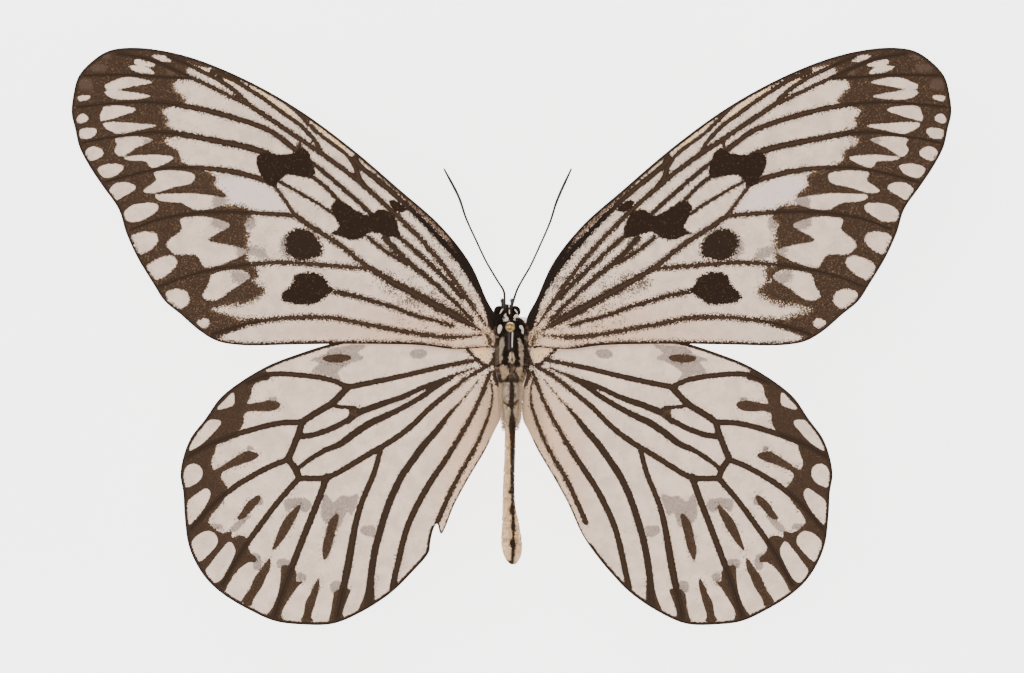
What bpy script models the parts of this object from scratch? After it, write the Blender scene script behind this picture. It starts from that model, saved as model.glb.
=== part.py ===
# A tree nymph butterfly, life size: a spread museum specimen on its pin, held by a small block.
# The head points to +Y, the wings lie level and the block stands on the ground at z = 0.
# Lengths in this file are millimetres. Wing points are (outward from the midline, forward).
import math

import bmesh
import bpy
from mathutils import Vector
from mathutils.geometry import delaunay_2d_cdt

MM = 0.001
GAP = 0.3                    # air kept between pieces that touch

# Stand: a block that the photo hides under the wings, and the pin through the thorax
BLOCK_SIZE = (50.0, 12.8, 9.0)
BLOCK_CENTRE_Y = -3.4
BLOCK_EDGE = 0.8
PIN_AT = (-0.2, 1.4)
PIN_RADIUS = 0.3
PIN_TIP_Z = 2.3
PIN_POINT = 1.2
PIN_HEAD_Z = 38.6
PIN_HEAD_RADIUS = 0.8

# Wings
MEMBRANE = 0.5
RIDGE_TOP = 0.25
RIDGE_UNDER = 0.15
RIDGE_HALF_WIDTH = 0.5
VEIN_STEP = 2.8
RIM_STEP = 3.0
CLOSEST = 0.42               # two mesh points of a wing are never nearer than this
FORE_ROOT_Z = 28.4
WING_STEP_DOWN = 1.25        # the hindwing lies this far under the forewing
WING_RISE = 0.01
WING_BEND = 0.00025
HIND_DROOP = 0.0005
RIGHT_HIND_PIVOT = 12.2      # the right hindwing is a little narrower beyond this line
RIGHT_HIND_WIDTH = 0.96

# Body: stations run from front to rear as (y, centre x, half width, top z, bottom z)
THORAX = [(2.55, -0.2, 0.85, 29.0, 26.1), (2.15, -0.1, 1.35, 29.6, 25.2), (1.3, 0.0, 1.9, 30.2, 24.5),
          (0.0, 0.0, 2.0, 30.6, 24.0), (-2.0, 0.0, 2.0, 30.6, 23.9), (-3.8, 0.0, 1.95, 30.2, 24.1),
          (-5.4, -0.05, 1.75, 29.5, 24.7), (-6.6, -0.1, 1.2, 28.7, 25.5)]
HEAD_X = -0.65
HEAD = [(2.85, HEAD_X + 0.15, 0.8, 28.5, 26.3), (3.3, HEAD_X, 1.05, 28.8, 26.0), (3.9, HEAD_X, 1.05, 28.8, 25.9),
        (4.4, HEAD_X, 0.8, 28.5, 26.1), (4.75, HEAD_X, 0.35, 27.9, 26.7)]
EYE_OFFSET = 1.2
EYE_CENTRE = (3.75, 27.3)
EYE_RADII = (0.85, 0.9, 1.1)
ABDOMEN = [(-6.95, -0.1, 1.0, 28.55, 25.65), (-7.8, -0.1, 1.25, 28.85, 25.35), (-9.3, -0.1, 1.25, 28.95, 25.25),
           (-12.0, -0.1, 1.05, 28.75, 25.25), (-13.5, -0.17, 0.8, 28.65, 25.25), (-17.5, -0.25, 0.75, 28.55, 25.1),
           (-22.0, -0.4, 0.82, 28.4, 25.0), (-25.5, -0.38, 0.92, 28.3, 24.9), (-28.5, -0.12, 1.28, 28.2, 24.7),
           (-31.3, 0.04, 1.5, 28.1, 24.6), (-33.0, 0.15, 1.2, 27.9, 24.8), (-34.3, 0.2, 0.35, 27.0, 25.6)]
SEGMENT_JOINTS = (-9.6, -12.8, -16.6, -20.4, -24.2, -27.6, -30.4)
SEGMENT_PINCH = 0.06
SEGMENT_JOINT_WIDTH = 0.45
ROUNDNESS = 2.4              # power of the body's oval sections, 2 is an ellipse
BODY_SIDES = 18

# Outlines of the wings
FORE_FRONT = [(2.3, 2.7), (3.7, 5.5), (6.2, 11.0), (10.6, 16.6), (16.7, 22.0), (24.2, 28.4), (31.7, 33.9),
              (39.2, 38.2), (46.7, 41.4), (52.0, 42.8), (56.9, 43.3), (60.4, 42.8), (62.9, 41.2), (64.9, 38.9),
              (65.7, 35.9), (65.9, 33.4), (65.4, 31.2), (64.7, 28.3), (63.0, 25.1), (61.1, 22.3), (58.9, 19.1),
              (57.7, 15.4), (56.0, 11.7), (53.5, 7.6), (52.0, 5.3), (49.6, 3.3), (46.7, 0.8), (44.1, -0.7),
              (40.7, -1.3), (31.7, -1.2), (22.7, -1.1), (13.7, -1.3), (8.5, -1.9), (4.1, -1.6), (2.3, -1.3)]
HIND_FRONT = [(2.3, -2.2), (6.2, -0.8), (10.7, 0.1), (16.7, 0.2), (22.0, -0.1), (27.2, -1.1), (31.7, -2.5),
              (36.2, -4.2), (40.7, -6.8), (43.7, -9.2), (46.0, -12.4), (48.2, -15.3), (49.4, -18.6),
              (49.7, -20.9), (49.3, -23.4), (49.1, -26.8), (48.5, -31.3), (47.2, -34.4), (45.4, -36.9),
              (42.8, -39.1), (39.2, -41.2), (35.5, -42.8), (31.7, -43.3), (26.9, -43.2), (22.7, -41.5),
              (18.2, -38.6), (15.2, -35.7), (12.4, -32.4)]
HIND_TEAR = [(12.4, -32.4), (12.2, -31.0), (11.7, -28.9), (11.2, -28.1), (10.6, -29.7)]
HIND_INNER = [(10.6, -29.7), (8.5, -25.1), (6.2, -20.9), (4.0, -17.2), (2.5, -14.1), (1.7, -12.4), (1.65, -9.6),
              (1.85, -7.3), (2.3, -5.6)]

# Veins that carry the wings
FORE_VEINS = {
    "subcosta": [(2.8, 1.5), (5.0, 6.9), (7.7, 11.1), (12.2, 16.2), (18.2, 22.1), (23.5, 26.7)],
    "radius": [(3.8, 1.6), (6.7, 5.8), (10.7, 11.2), (15.2, 16.2), (24.2, 24.3), (33.2, 30.6), (39.2, 34.6)],
    "radius_1": [(22.4, 22.8), (23.2, 24.9), (25.7, 28.5), (28.7, 30.8), (31.7, 32.9), (33.5, 34.6)],
    "radius_2": [(28.4, 27.6), (30.2, 30.0), (33.2, 33.1), (37.7, 36.0), (42.2, 38.7), (44.9, 39.8)],
    "radius_3": [(39.4, 34.8), (42.2, 37.4), (46.7, 39.9), (51.5, 42.0)],
    "radius_4": [(39.2, 34.6), (48.2, 38.9), (54.2, 41.5), (59.0, 42.4)],
    "radius_5": [(47.9, 38.7), (52.7, 38.9), (57.2, 39.2), (64.0, 39.1)],
    "cell_end": [(31.7, 29.2), (32.3, 27.6), (34.1, 25.6), (35.8, 23.4), (34.4, 21.0), (32.3, 18.1)],
    "media_1": [(32.2, 27.9), (36.2, 30.8), (40.7, 32.5), (46.7, 34.1), (52.7, 35.0), (58.5, 35.0), (65.0, 34.4)],
    "media_2": [(34.1, 26.1), (37.7, 27.8), (43.7, 29.2), (52.7, 30.6), (60.2, 29.8), (64.3, 29.0)],
    "media_3": [(35.5, 22.8), (39.2, 24.1), (43.7, 25.0), (51.2, 25.3), (55.7, 24.5), (60.8, 23.2)],
    "cubitus": [(3.7, 0.8), (7.7, 2.7), (12.2, 5.1), (21.2, 10.2), (25.7, 13.7), (30.2, 16.6), (32.3, 18.1)],
    "cubitus_1": [(32.3, 18.1), (36.2, 18.4), (42.2, 18.7), (48.2, 18.4), (52.7, 17.6), (56.8, 16.1)],
    "cubitus_2": [(21.2, 10.2), (25.7, 10.5), (34.7, 11.1), (43.7, 10.2), (48.2, 9.2), (53.0, 7.4)],
    "anal": [(4.1, 0.3), (9.2, -0.1), (15.2, 0.6), (21.2, 1.7), (27.2, 2.8), (33.2, 2.8), (39.2, 2.0),
             (44.8, 0.4)],
}
HIND_VEINS = {
    "subcosta": [(3.2, -3.6), (6.2, -3.8), (10.7, -4.6), (16.7, -6.0), (24.5, -7.6)],
    "radial_sector": [(24.5, -7.6), (27.2, -6.5), (31.7, -5.8), (36.2, -5.7), (39.7, -6.9)],
    "cell_end": [(24.5, -7.6), (27.2, -10.2), (31.4, -12.9), (31.9, -15.0), (32.9, -18.0), (31.9, -21.3),
                 (27.7, -21.0)],
    "media_1": [(31.4, -12.9), (34.7, -13.0), (40.7, -14.5), (46.0, -16.5), (48.8, -18.1)],
    "media_2": [(32.9, -18.6), (36.2, -19.5), (41.0, -22.2), (44.5, -24.9), (48.1, -28.8)],
    "media_3": [(31.9, -21.3), (34.7, -24.4), (38.3, -29.1), (40.7, -32.5), (43.4, -37.2)],
    "cubitus_1": [(27.7, -21.0), (28.9, -24.3), (31.0, -29.5), (34.3, -38.1), (35.6, -42.0)],
    "cubitus_2": [(19.7, -17.1), (20.6, -20.4), (22.9, -26.1), (24.7, -35.1), (26.2, -42.1)],
    "cubitus": [(2.8, -3.9), (6.2, -6.1), (10.7, -10.0), (19.7, -17.1), (23.5, -18.7), (27.7, -21.0)],
    "fold": [(5.3, -6.8), (7.0, -8.7), (9.2, -11.6), (13.0, -16.1), (15.5, -19.5), (17.9, -23.9), (19.6, -28.4),
             (20.5, -32.1), (21.1, -36.6), (21.5, -40.4)],
    "anal_1": [(3.2, -5.0), (5.0, -9.6), (8.3, -15.9), (12.5, -22.6), (15.4, -27.8), (17.0, -33.1), (17.6, -37.5)],
    "anal_2": [(3.0, -6.3), (2.9, -9.6), (4.0, -14.1), (7.3, -19.9), (9.7, -24.7), (10.6, -26.9)],
}

# Feelers, palps, legs and the coiled tongue
ANTENNA_RADIUS = (0.25, 0.25, 0.27, 0.32, 0.2)
ANTENNAE = {
    "left": [(-1.0, 4.2, 29.1), (-1.05, 4.8, 29.5), (-1.14, 6.75, 29.8), (-2.04, 8.25, 29.9), (-3.8, 11.25, 30.1),
             (-5.3, 14.4, 30.2), (-6.8, 17.7, 30.3), (-7.9, 20.9, 30.3), (-10.1, 25.1, 30.4)],
    "right": [(-0.2, 4.2, 29.1), (0.1, 4.8, 29.5), (0.86, 7.05, 29.8), (1.75, 8.7, 29.9), (2.7, 10.3, 30.0),
              (4.2, 13.5, 30.2), (5.8, 17.2, 30.3), (6.8, 20.3, 30.3), (8.95, 25.1, 30.4)],
}
PALP_OFFSET = 0.72
PALP = [(4.5, 25.5), (4.95, 25.75), (5.3, 26.3), (5.42, 26.9), (5.45, 27.6)]
PALP_RADIUS = (0.25, 0.27, 0.27, 0.25, 0.14)
TONGUE_CENTRE = (4.0, 24.45)
TONGUE_TURNS = 1.3
TONGUE_INNER = 0.45
TONGUE_OUTER = 1.1
TONGUE_RADIUS = 0.22
LEGS = {
    "fore": ([(1.05, 0.6, 24.1), (1.1, 1.2, 23.5), (1.1, 2.2, 23.3), (1.0, 2.6, 23.5)], (0.3, 0.28, 0.26, 0.25)),
    "mid": ([(0.8, -0.8, 23.65), (1.6, -1.2, 22.5), (4.6, -2.4, 20.6), (4.5, -2.9, 20.2), (3.4, -5.2, 17.6),
             (2.2, -8.0, 15.6), (1.5, -9.6, 14.9)], (0.42, 0.34, 0.3, 0.27, 0.26, 0.25, 0.25)),
    "hind": ([(0.8, -3.0, 23.6), (1.5, -3.6, 22.8), (3.9, -6.2, 21.8), (3.85, -6.6, 21.4), (2.6, -9.2, 19.6),
              (1.2, -10.6, 18.3)], (0.42, 0.34, 0.3, 0.27, 0.26, 0.25)),
}
TUBE_SIDES = 8
TUBE_STEP = 1.6


def clear_scene():
    for item in list(bpy.data.objects):
        bpy.data.objects.remove(item, do_unlink=True)


def finish_material(name, colour, roughness, metallic=0.0):
    material = bpy.data.materials.new(name)
    material.use_nodes = True
    shader = material.node_tree.nodes["Principled BSDF"]
    shader.inputs["Base Color"].default_value = (*colour, 1.0)
    shader.inputs["Roughness"].default_value = roughness
    shader.inputs["Metallic"].default_value = metallic
    return material


def add_node(name, points, faces, material):
    # one closed body from points in millimetres, its faces turned outwards
    mesh = bpy.data.meshes.new(name)
    work = bmesh.new()
    corners = [work.verts.new(Vector(point) * MM) for point in points]
    for face in faces:
        work.faces.new([corners[index] for index in face])
    bmesh.ops.recalc_face_normals(work, faces=work.faces)
    work.to_mesh(mesh)
    work.free()
    mesh.materials.append(material)
    mesh.shade_smooth()
    mesh.set_sharp_from_angle(angle=math.radians(40))
    node = bpy.data.objects.new(name, mesh)
    bpy.context.collection.objects.link(node)
    return node


def spline_point(before, start, end, after, share):
    # a point of the smooth curve that runs through start and end
    square = share * share
    cube = square * share
    return 0.5 * (2.0 * start + (end - before) * share + (2.0 * before - 5.0 * start + 4.0 * end - after) * square
                  + (3.0 * start - before - 3.0 * end + after) * cube)


def smooth_line(points, step):
    # evenly spaced points along the smooth curve through the given ones
    knots = [Vector(point) for point in points]
    knots = [2.0 * knots[0] - knots[1]] + knots + [2.0 * knots[-1] - knots[-2]]
    fine = []
    for index in range(1, len(knots) - 2):
        for part in range(12):
            fine.append(spline_point(*knots[index - 1:index + 3], part / 12))
    fine.append(knots[-2])
    lengths = [0.0]
    for first, second in zip(fine, fine[1:]):
        lengths.append(lengths[-1] + (second - first).length)
    count = max(1, round(lengths[-1] / step))
    line = []
    place = 0
    for number in range(count + 1):
        target = lengths[-1] * number / count
        while place < len(fine) - 2 and lengths[place + 1] < target:
            place += 1
        span = lengths[place + 1] - lengths[place]
        line.append(fine[place].lerp(fine[place + 1], (target - lengths[place]) / span))
    return line


def nearest_distance(point, lines):
    # distance from a point to the nearest of several polylines
    best = 1e9
    for line in lines:
        for start, end in zip(line, line[1:]):
            along = end - start
            share = max(0.0, min(1.0, (point - start).dot(along) / along.length_squared))
            best = min(best, (point - start - along * share).length)
    return best


def is_inside(point, loop):
    inside = False
    for start, end in zip(loop, loop[1:] + loop[:1]):
        if (start.y > point.y) != (end.y > point.y):
            if point.x < (end.x - start.x) * (point.y - start.y) / (end.y - start.y) + start.x:
                inside = not inside
    return inside


def fore_height(out, forward):
    return FORE_ROOT_Z + WING_RISE * out + WING_BEND * out * out


def hind_height(out, forward):
    return fore_height(out, forward) - WING_STEP_DOWN - HIND_DROOP * forward * forward


def wing(name, side, runs, veins, height, width, material):
    # a membrane whose veins stand up as ridges, both faces split into the same triangles
    rim = []
    for run in runs:
        rim += smooth_line(run, RIM_STEP)[:-1]
    rim.append(Vector(runs[-1][-1]))
    lines = [smooth_line(points, VEIN_STEP) for points in veins.values()]
    points = list(rim)
    edges = []
    closed_rim = rim + rim[:1]

    def place_point(point):
        # the number of this point, or of one already close to it
        for number, other in enumerate(points):
            if (other - point).length < CLOSEST:
                return number
        points.append(point)
        return len(points) - 1

    for line in lines:
        last = None
        for point in line:
            if not is_inside(point, rim):
                continue
            number = place_point(point)
            if last is not None and last != number:
                edges.append((last, number))
            last = number
    for line in lines:
        for start, end in zip(line, line[1:]):
            along = (end - start).normalized()
            aside = Vector((-along.y, along.x)) * RIDGE_HALF_WIDTH
            for point in (start + aside, start - aside):
                if is_inside(point, rim) and nearest_distance(point, [closed_rim]) > CLOSEST:
                    if nearest_distance(point, lines) > 0.9 * RIDGE_HALF_WIDTH:
                        place_point(point)
    flat, _, triangles, _, _, _ = delaunay_2d_cdt(points, edges, [list(range(len(rim)))], 1, 1e-5)

    def outward(point):
        return RIGHT_HIND_PIVOT + (point.x - RIGHT_HIND_PIVOT) * width if width < 1.0 else point.x

    tops = []
    unders = []
    for point in flat:
        to_vein = nearest_distance(point, lines)
        ridge = max(0.0, 1.0 - to_vein / RIDGE_HALF_WIDTH)
        level = height(point.x, point.y)
        x = side * outward(point)
        tops.append((x, point.y, level + MEMBRANE / 2 + RIDGE_TOP * ridge))
        unders.append((x, point.y, level - MEMBRANE / 2 - RIDGE_UNDER * ridge))
    shift = len(flat)
    faces = []
    uses = {}
    for triangle in triangles:
        faces.append(tuple(triangle))
        faces.append(tuple(shift + index for index in reversed(triangle)))
        for start, end in zip(triangle, triangle[1:] + triangle[:1]):
            uses[(start, end)] = True
    for start, end in uses:
        if (end, start) not in uses:
            faces.append((start, shift + start, shift + end))
            faces.append((start, shift + end, end))
    return add_node(name, tops + unders, faces, material)


def oval(y, centre_x, half_width, top, bottom, sides, grow=0.0):
    # a rounded section across the body
    ring = []
    for number in range(sides):
        angle = 2.0 * math.pi * number / sides
        wide = math.copysign(abs(math.cos(angle)) ** (2.0 / ROUNDNESS), math.cos(angle))
        high = math.copysign(abs(math.sin(angle)) ** (2.0 / ROUNDNESS), math.sin(angle))
        ring.append((centre_x + (half_width + grow) * wide, y,
                     (top + bottom) / 2 + ((top - bottom) / 2 + grow) * high))
    return ring


def skin(rings):
    # points and faces of a closed tube through the rings, with a flat end at each side
    points = [point for ring in rings for point in ring]
    sides = len(rings[0])
    faces = []
    for ring in range(len(rings) - 1):
        for number in range(sides):
            after = (number + 1) % sides
            low = ring * sides
            high = low + sides
            faces.append((low + number, low + after, high + after, high + number))
    for start in (0, (len(rings) - 1) * sides):
        centre = sum((Vector(points[start + number]) for number in range(sides)), Vector()) / sides
        points.append(tuple(centre))
        for number in range(sides):
            faces.append((start + number, start + (number + 1) % sides, len(points) - 1))
    return points, faces


def body_rings(stations, step, joints=(), grow=0.0):
    # sections along the body, with a shallow pinch at each segment joint
    rings = []
    for y, centre_x, half_width, top, bottom in smooth_stations(stations, step):
        pinch = 0.0
        for joint in joints:
            pinch = max(pinch, SEGMENT_PINCH * (1.0 - abs(y - joint) / SEGMENT_JOINT_WIDTH))
        middle = (top + bottom) / 2
        half_height = (top - bottom) / 2 * (1.0 - pinch)
        rings.append(oval(y, centre_x, half_width * (1.0 - pinch), middle + half_height, middle - half_height,
                          BODY_SIDES, grow))
    return rings


def smooth_stations(stations, step):
    # stations filled in along the body by a smooth curve in all their sizes
    filled = []
    padded = [stations[0]] + list(stations) + [stations[-1]]
    for index in range(1, len(padded) - 2):
        before, start, end, after = padded[index - 1:index + 3]
        count = max(1, round(abs(end[0] - start[0]) / step))
        for part in range(count):
            share = part / count
            row = [start[0] + (end[0] - start[0]) * share]
            row += [spline_point(*values, share) for values in zip(before[1:], start[1:], end[1:], after[1:])]
            filled.append(row)
    filled.append(list(stations[-1]))
    return filled


def tube(name, path, radii, material, sides=TUBE_SIDES, step=TUBE_STEP):
    # a round tube that tapers evenly through the radii
    line = smooth_line(path, step)
    aside = Vector((0.31, 0.17, 0.93))
    rings = []
    for number, point in enumerate(line):
        along = (line[min(number + 1, len(line) - 1)] - line[max(number - 1, 0)]).normalized()
        aside = (aside - along * aside.dot(along)).normalized()
        across = along.cross(aside)
        place = number / (len(line) - 1) * (len(radii) - 1)
        index = min(int(place), len(radii) - 2)
        radius = radii[index] + (radii[index + 1] - radii[index]) * (place - index)
        ring = []
        for turn in range(sides):
            angle = 2.0 * math.pi * turn / sides
            ring.append(tuple(point + (aside * math.cos(angle) + across * math.sin(angle)) * radius))
        rings.append(ring)
    return add_node(name, *skin(rings), material)


def ellipsoid(name, centre, radii, material, around=16, rows=10):
    rings = []
    for row in range(1, rows):
        polar = math.pi * row / rows
        ring = []
        for number in range(around):
            angle = 2.0 * math.pi * number / around
            ring.append((centre[0] + radii[0] * math.sin(polar) * math.cos(angle),
                         centre[1] + radii[1] * math.sin(polar) * math.sin(angle),
                         centre[2] + radii[2] * math.cos(polar)))
        rings.append(ring)
    points, faces = skin(rings)
    points[-2] = (centre[0], centre[1], centre[2] + radii[2])
    points[-1] = (centre[0], centre[1], centre[2] - radii[2])
    return add_node(name, points, faces, material)


def turned(name, at, profile, material, sides=16):
    # a round piece from its (radius, z) profile, standing at a place
    rings = []
    for radius, z in profile:
        ring = []
        for number in range(sides):
            angle = 2.0 * math.pi * number / sides
            ring.append((at[0] + radius * math.cos(angle), at[1] + radius * math.sin(angle), z))
        rings.append(ring)
    return add_node(name, *skin(rings), material)


def cut(node, cutter):
    cutter.hide_render = True
    cutter.display_type = "WIRE"
    modifier = node.modifiers.new("cut", "BOOLEAN")
    modifier.operation = "DIFFERENCE"
    modifier.solver = "EXACT"
    modifier.object = cutter


def make_wings():
    fore = finish_material("forewing", (0.64, 0.58, 0.52), 0.75)
    hind = finish_material("hindwing", (0.67, 0.61, 0.54), 0.75)
    for name, side in (("left", -1), ("right", 1)):
        hind_runs = [HIND_FRONT, HIND_TEAR, HIND_INNER]
        hind_width = 1.0
        if side == 1:
            hind_runs = [HIND_FRONT + HIND_INNER[:1], HIND_INNER]
            hind_width = RIGHT_HIND_WIDTH
        wing("forewing_" + name, side, [FORE_FRONT], FORE_VEINS, fore_height, 1.0, fore)
        wing("hindwing_" + name, side, hind_runs, HIND_VEINS, hind_height, hind_width, hind)


def make_body():
    dark = finish_material("body", (0.09, 0.065, 0.05), 0.85)
    pale = finish_material("abdomen", (0.52, 0.42, 0.33), 0.85)
    thorax = add_node("thorax", *skin(body_rings(THORAX, 0.55)), dark)
    hole = PIN_RADIUS + GAP
    cut(thorax, turned("cut_pin_hole", PIN_AT, [(hole, 20.0), (hole, 34.0)], dark))
    add_node("head", *skin(body_rings(HEAD, 0.2)), dark)
    add_node("abdomen", *skin(body_rings(ABDOMEN, 0.8, SEGMENT_JOINTS)), pale)
    around_head = add_node("cut_head", *skin(body_rings(HEAD, 0.2, grow=GAP)), dark)
    eye = finish_material("eye", (0.02, 0.015, 0.012), 0.2)
    for name, side in (("left", -1), ("right", 1)):
        node = ellipsoid("eye_" + name, (HEAD_X + side * EYE_OFFSET, *EYE_CENTRE), EYE_RADII, eye)
        cut(node, around_head)


def make_limbs():
    dark = finish_material("limb", (0.05, 0.035, 0.03), 0.6)
    for name, side in (("left", -1), ("right", 1)):
        tube("antenna_" + name, ANTENNAE[name], ANTENNA_RADIUS, dark)
        palp = [(HEAD_X + side * PALP_OFFSET, y, z) for y, z in PALP]
        tube("palp_" + name, palp, PALP_RADIUS, dark, step=0.4)
        for leg, (path, radii) in LEGS.items():
            tube("leg_%s_%s" % (leg, name), [(side * x, y, z) for x, y, z in path], radii, dark)
    coil = []
    for number in range(21):
        share = number / 20
        angle = 2.0 * math.pi * TONGUE_TURNS * share + math.radians(200)
        radius = TONGUE_INNER + (TONGUE_OUTER - TONGUE_INNER) * share
        coil.append((HEAD_X, TONGUE_CENTRE[0] + radius * math.cos(angle), TONGUE_CENTRE[1] + radius * math.sin(angle)))
    tube("proboscis", coil, (TONGUE_RADIUS, TONGUE_RADIUS), dark, step=0.35)


def make_stand():
    brass = finish_material("pin", (0.62, 0.46, 0.24), 0.3, 1.0)
    paint = finish_material("block", (0.82, 0.81, 0.78), 0.6)
    profile = [(0.08, PIN_TIP_Z), (PIN_RADIUS, PIN_TIP_Z + PIN_POINT)]
    profile.append((PIN_RADIUS, PIN_HEAD_Z - PIN_HEAD_RADIUS * 0.92))
    for number in range(1, 9):
        angle = math.radians(-70 + 20 * number)
        profile.append((PIN_HEAD_RADIUS * math.cos(angle), PIN_HEAD_Z + PIN_HEAD_RADIUS * math.sin(angle)))
    turned("stand_pin", PIN_AT, profile, brass)
    half_x, half_y = BLOCK_SIZE[0] / 2, BLOCK_SIZE[1] / 2
    corners = [(x, BLOCK_CENTRE_Y + y) for x, y in ((-half_x, -half_y), (half_x, -half_y), (half_x, half_y),
                                                    (-half_x, half_y))]
    points = [(x, y, z) for z in (0.0, BLOCK_SIZE[2]) for x, y in corners]
    faces = [(0, 1, 2, 3), (4, 5, 6, 7)] + [(n, (n + 1) % 4, (n + 1) % 4 + 4, n + 4) for n in range(4)]
    block = add_node("stand_base", points, faces, paint)
    bevel = block.modifiers.new("edges", "BEVEL")
    bevel.width = BLOCK_EDGE * MM
    bevel.segments = 3
    hole = PIN_RADIUS + GAP
    depth = [(hole, PIN_TIP_Z - GAP), (hole, BLOCK_SIZE[2] + 2.0)]
    cut(block, turned("cut_block_hole", PIN_AT, depth, paint))


clear_scene()
make_wings()
make_body()
make_limbs()
make_stand()
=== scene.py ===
# A tree nymph butterfly, spread and pinned as a museum keeps it, seen from straight above.
# Lengths are millimetres until a mesh is made; wing points are (outward from the midline, forward).
import math
import bpy
import numpy as np
from mathutils import Matrix, Vector
from mathutils.geometry import delaunay_2d_cdt


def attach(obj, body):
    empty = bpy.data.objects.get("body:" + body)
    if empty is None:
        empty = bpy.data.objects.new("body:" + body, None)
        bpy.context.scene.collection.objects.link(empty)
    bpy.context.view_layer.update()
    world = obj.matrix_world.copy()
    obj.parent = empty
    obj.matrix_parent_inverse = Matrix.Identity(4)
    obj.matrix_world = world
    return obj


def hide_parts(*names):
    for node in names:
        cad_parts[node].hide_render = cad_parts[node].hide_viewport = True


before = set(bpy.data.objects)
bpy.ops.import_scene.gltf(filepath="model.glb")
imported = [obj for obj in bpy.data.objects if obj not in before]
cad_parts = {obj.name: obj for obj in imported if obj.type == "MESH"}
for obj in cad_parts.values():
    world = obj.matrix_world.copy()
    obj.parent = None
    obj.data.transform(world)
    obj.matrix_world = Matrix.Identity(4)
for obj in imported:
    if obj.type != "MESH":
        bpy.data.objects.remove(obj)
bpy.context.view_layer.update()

mm = 0.001


# Shader maths: a wrapped socket takes part in plain expressions
class Wire:
    def __init__(self, paint, socket):
        self.paint = paint
        self.socket = socket

    def __add__(self, other):
        return self.paint.math("ADD", self, other)

    def __radd__(self, other):
        return self.paint.math("ADD", other, self)

    def __sub__(self, other):
        return self.paint.math("SUBTRACT", self, other)

    def __rsub__(self, other):
        return self.paint.math("SUBTRACT", other, self)

    def __mul__(self, other):
        return self.paint.math("MULTIPLY", self, other)

    def __rmul__(self, other):
        return self.paint.math("MULTIPLY", other, self)


class Paint:
    def __init__(self, name):
        self.material = bpy.data.materials.new(name)
        self.material.use_nodes = True
        self.tree = self.material.node_tree
        self.tree.nodes.clear()

    def node(self, kind, settings=None, sockets=None, out=0):
        # any node: its kind, its settings, then the values or wires of its sockets
        made = self.tree.nodes.new(kind)
        for key, value in (settings or {}).items():
            setattr(made, key, value)
        for key, value in (sockets or {}).items():
            if isinstance(value, Wire):
                self.tree.links.new(value.socket, made.inputs[key])
            else:
                made.inputs[key].default_value = value
        return Wire(self, made.outputs[out])

    def math(self, operation, *terms):
        return self.node("ShaderNodeMath", {"operation": operation}, dict(enumerate(terms)))

    def larger(self, first, second):
        return self.math("MAXIMUM", first, second)

    def below(self, value, low, high):
        # 1 below low, 0 above high, smooth between
        return self.node("ShaderNodeMapRange", {"interpolation_type": "SMOOTHSTEP"},
                         {"Value": value, "From Min": low, "From Max": high, "To Min": 1.0, "To Max": 0.0})

    def above(self, value, low, high):
        return self.node("ShaderNodeMapRange", {"interpolation_type": "SMOOTHSTEP"},
                         {"Value": value, "From Min": low, "From Max": high})

    def mix(self, share, first, second):
        return self.node("ShaderNodeMix", {"data_type": "RGBA"}, {0: share, 6: first, 7: second}, out=2)

    def shaded(self, colour, factor):
        # a colour made lighter or darker by a wire
        return self.node("ShaderNodeVectorMath", {"operation": "SCALE"}, {0: colour, 3: factor})

    def read(self, name):
        return self.node("ShaderNodeAttribute", {"attribute_name": name}, out=2)

    def place(self):
        # Object coordinates in millimetres
        metres = self.node("ShaderNodeTexCoord", out=3)
        return self.node("ShaderNodeVectorMath", {"operation": "SCALE"}, {0: metres, 3: 1000.0})

    def stretched(self, place, stretch):
        # the same place, finer along some axes than along others
        return self.node("ShaderNodeVectorMath", {"operation": "MULTIPLY"}, {0: place, 1: stretch})

    def noise(self, place, scale, detail=2.0, roughness=0.5):
        return self.node("ShaderNodeTexNoise", None,
                         {"Vector": place, "Scale": scale, "Detail": detail, "Roughness": roughness})

    def cells(self, place, scale):
        return self.node("ShaderNodeTexVoronoi", None, {"Vector": place, "Scale": scale})

    def chances(self, place, scale):
        # cells like scales, each with three chances of its own from 0 to 1
        scales = self.node("ShaderNodeTexVoronoi", None, {"Vector": place, "Scale": scale}, out=1)
        first = self.node("ShaderNodeSeparateColor", None, {"Color": scales})
        return [Wire(self, output) for output in first.socket.node.outputs]

    def bump(self, height, distance, strength=1.0):
        return self.node("ShaderNodeBump", None,
                         {"Height": height, "Distance": distance * mm, "Strength": strength})

    def finish(self, sockets):
        shader = self.node("ShaderNodeBsdfPrincipled", None, sockets)
        output = self.tree.nodes.new("ShaderNodeOutputMaterial")
        self.tree.links.new(shader.socket, output.inputs["Surface"])
        return self.material


# What the studio light and the film make of a finish: a bright grey of 1 is seen at this share of white
film = {"bend": 0.81, "knee": 0.294, "light": 2.24}


def tone(red, green, blue):
    # the finish that is seen in the picture as this colour, 0 to 255
    def finish(value):
        share = value / 255
        return (film["knee"] * share / (1.0 - share)) ** (1.0 / film["bend"]) / film["light"]
    return (finish(red), finish(green), finish(blue), 1.0)


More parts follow.
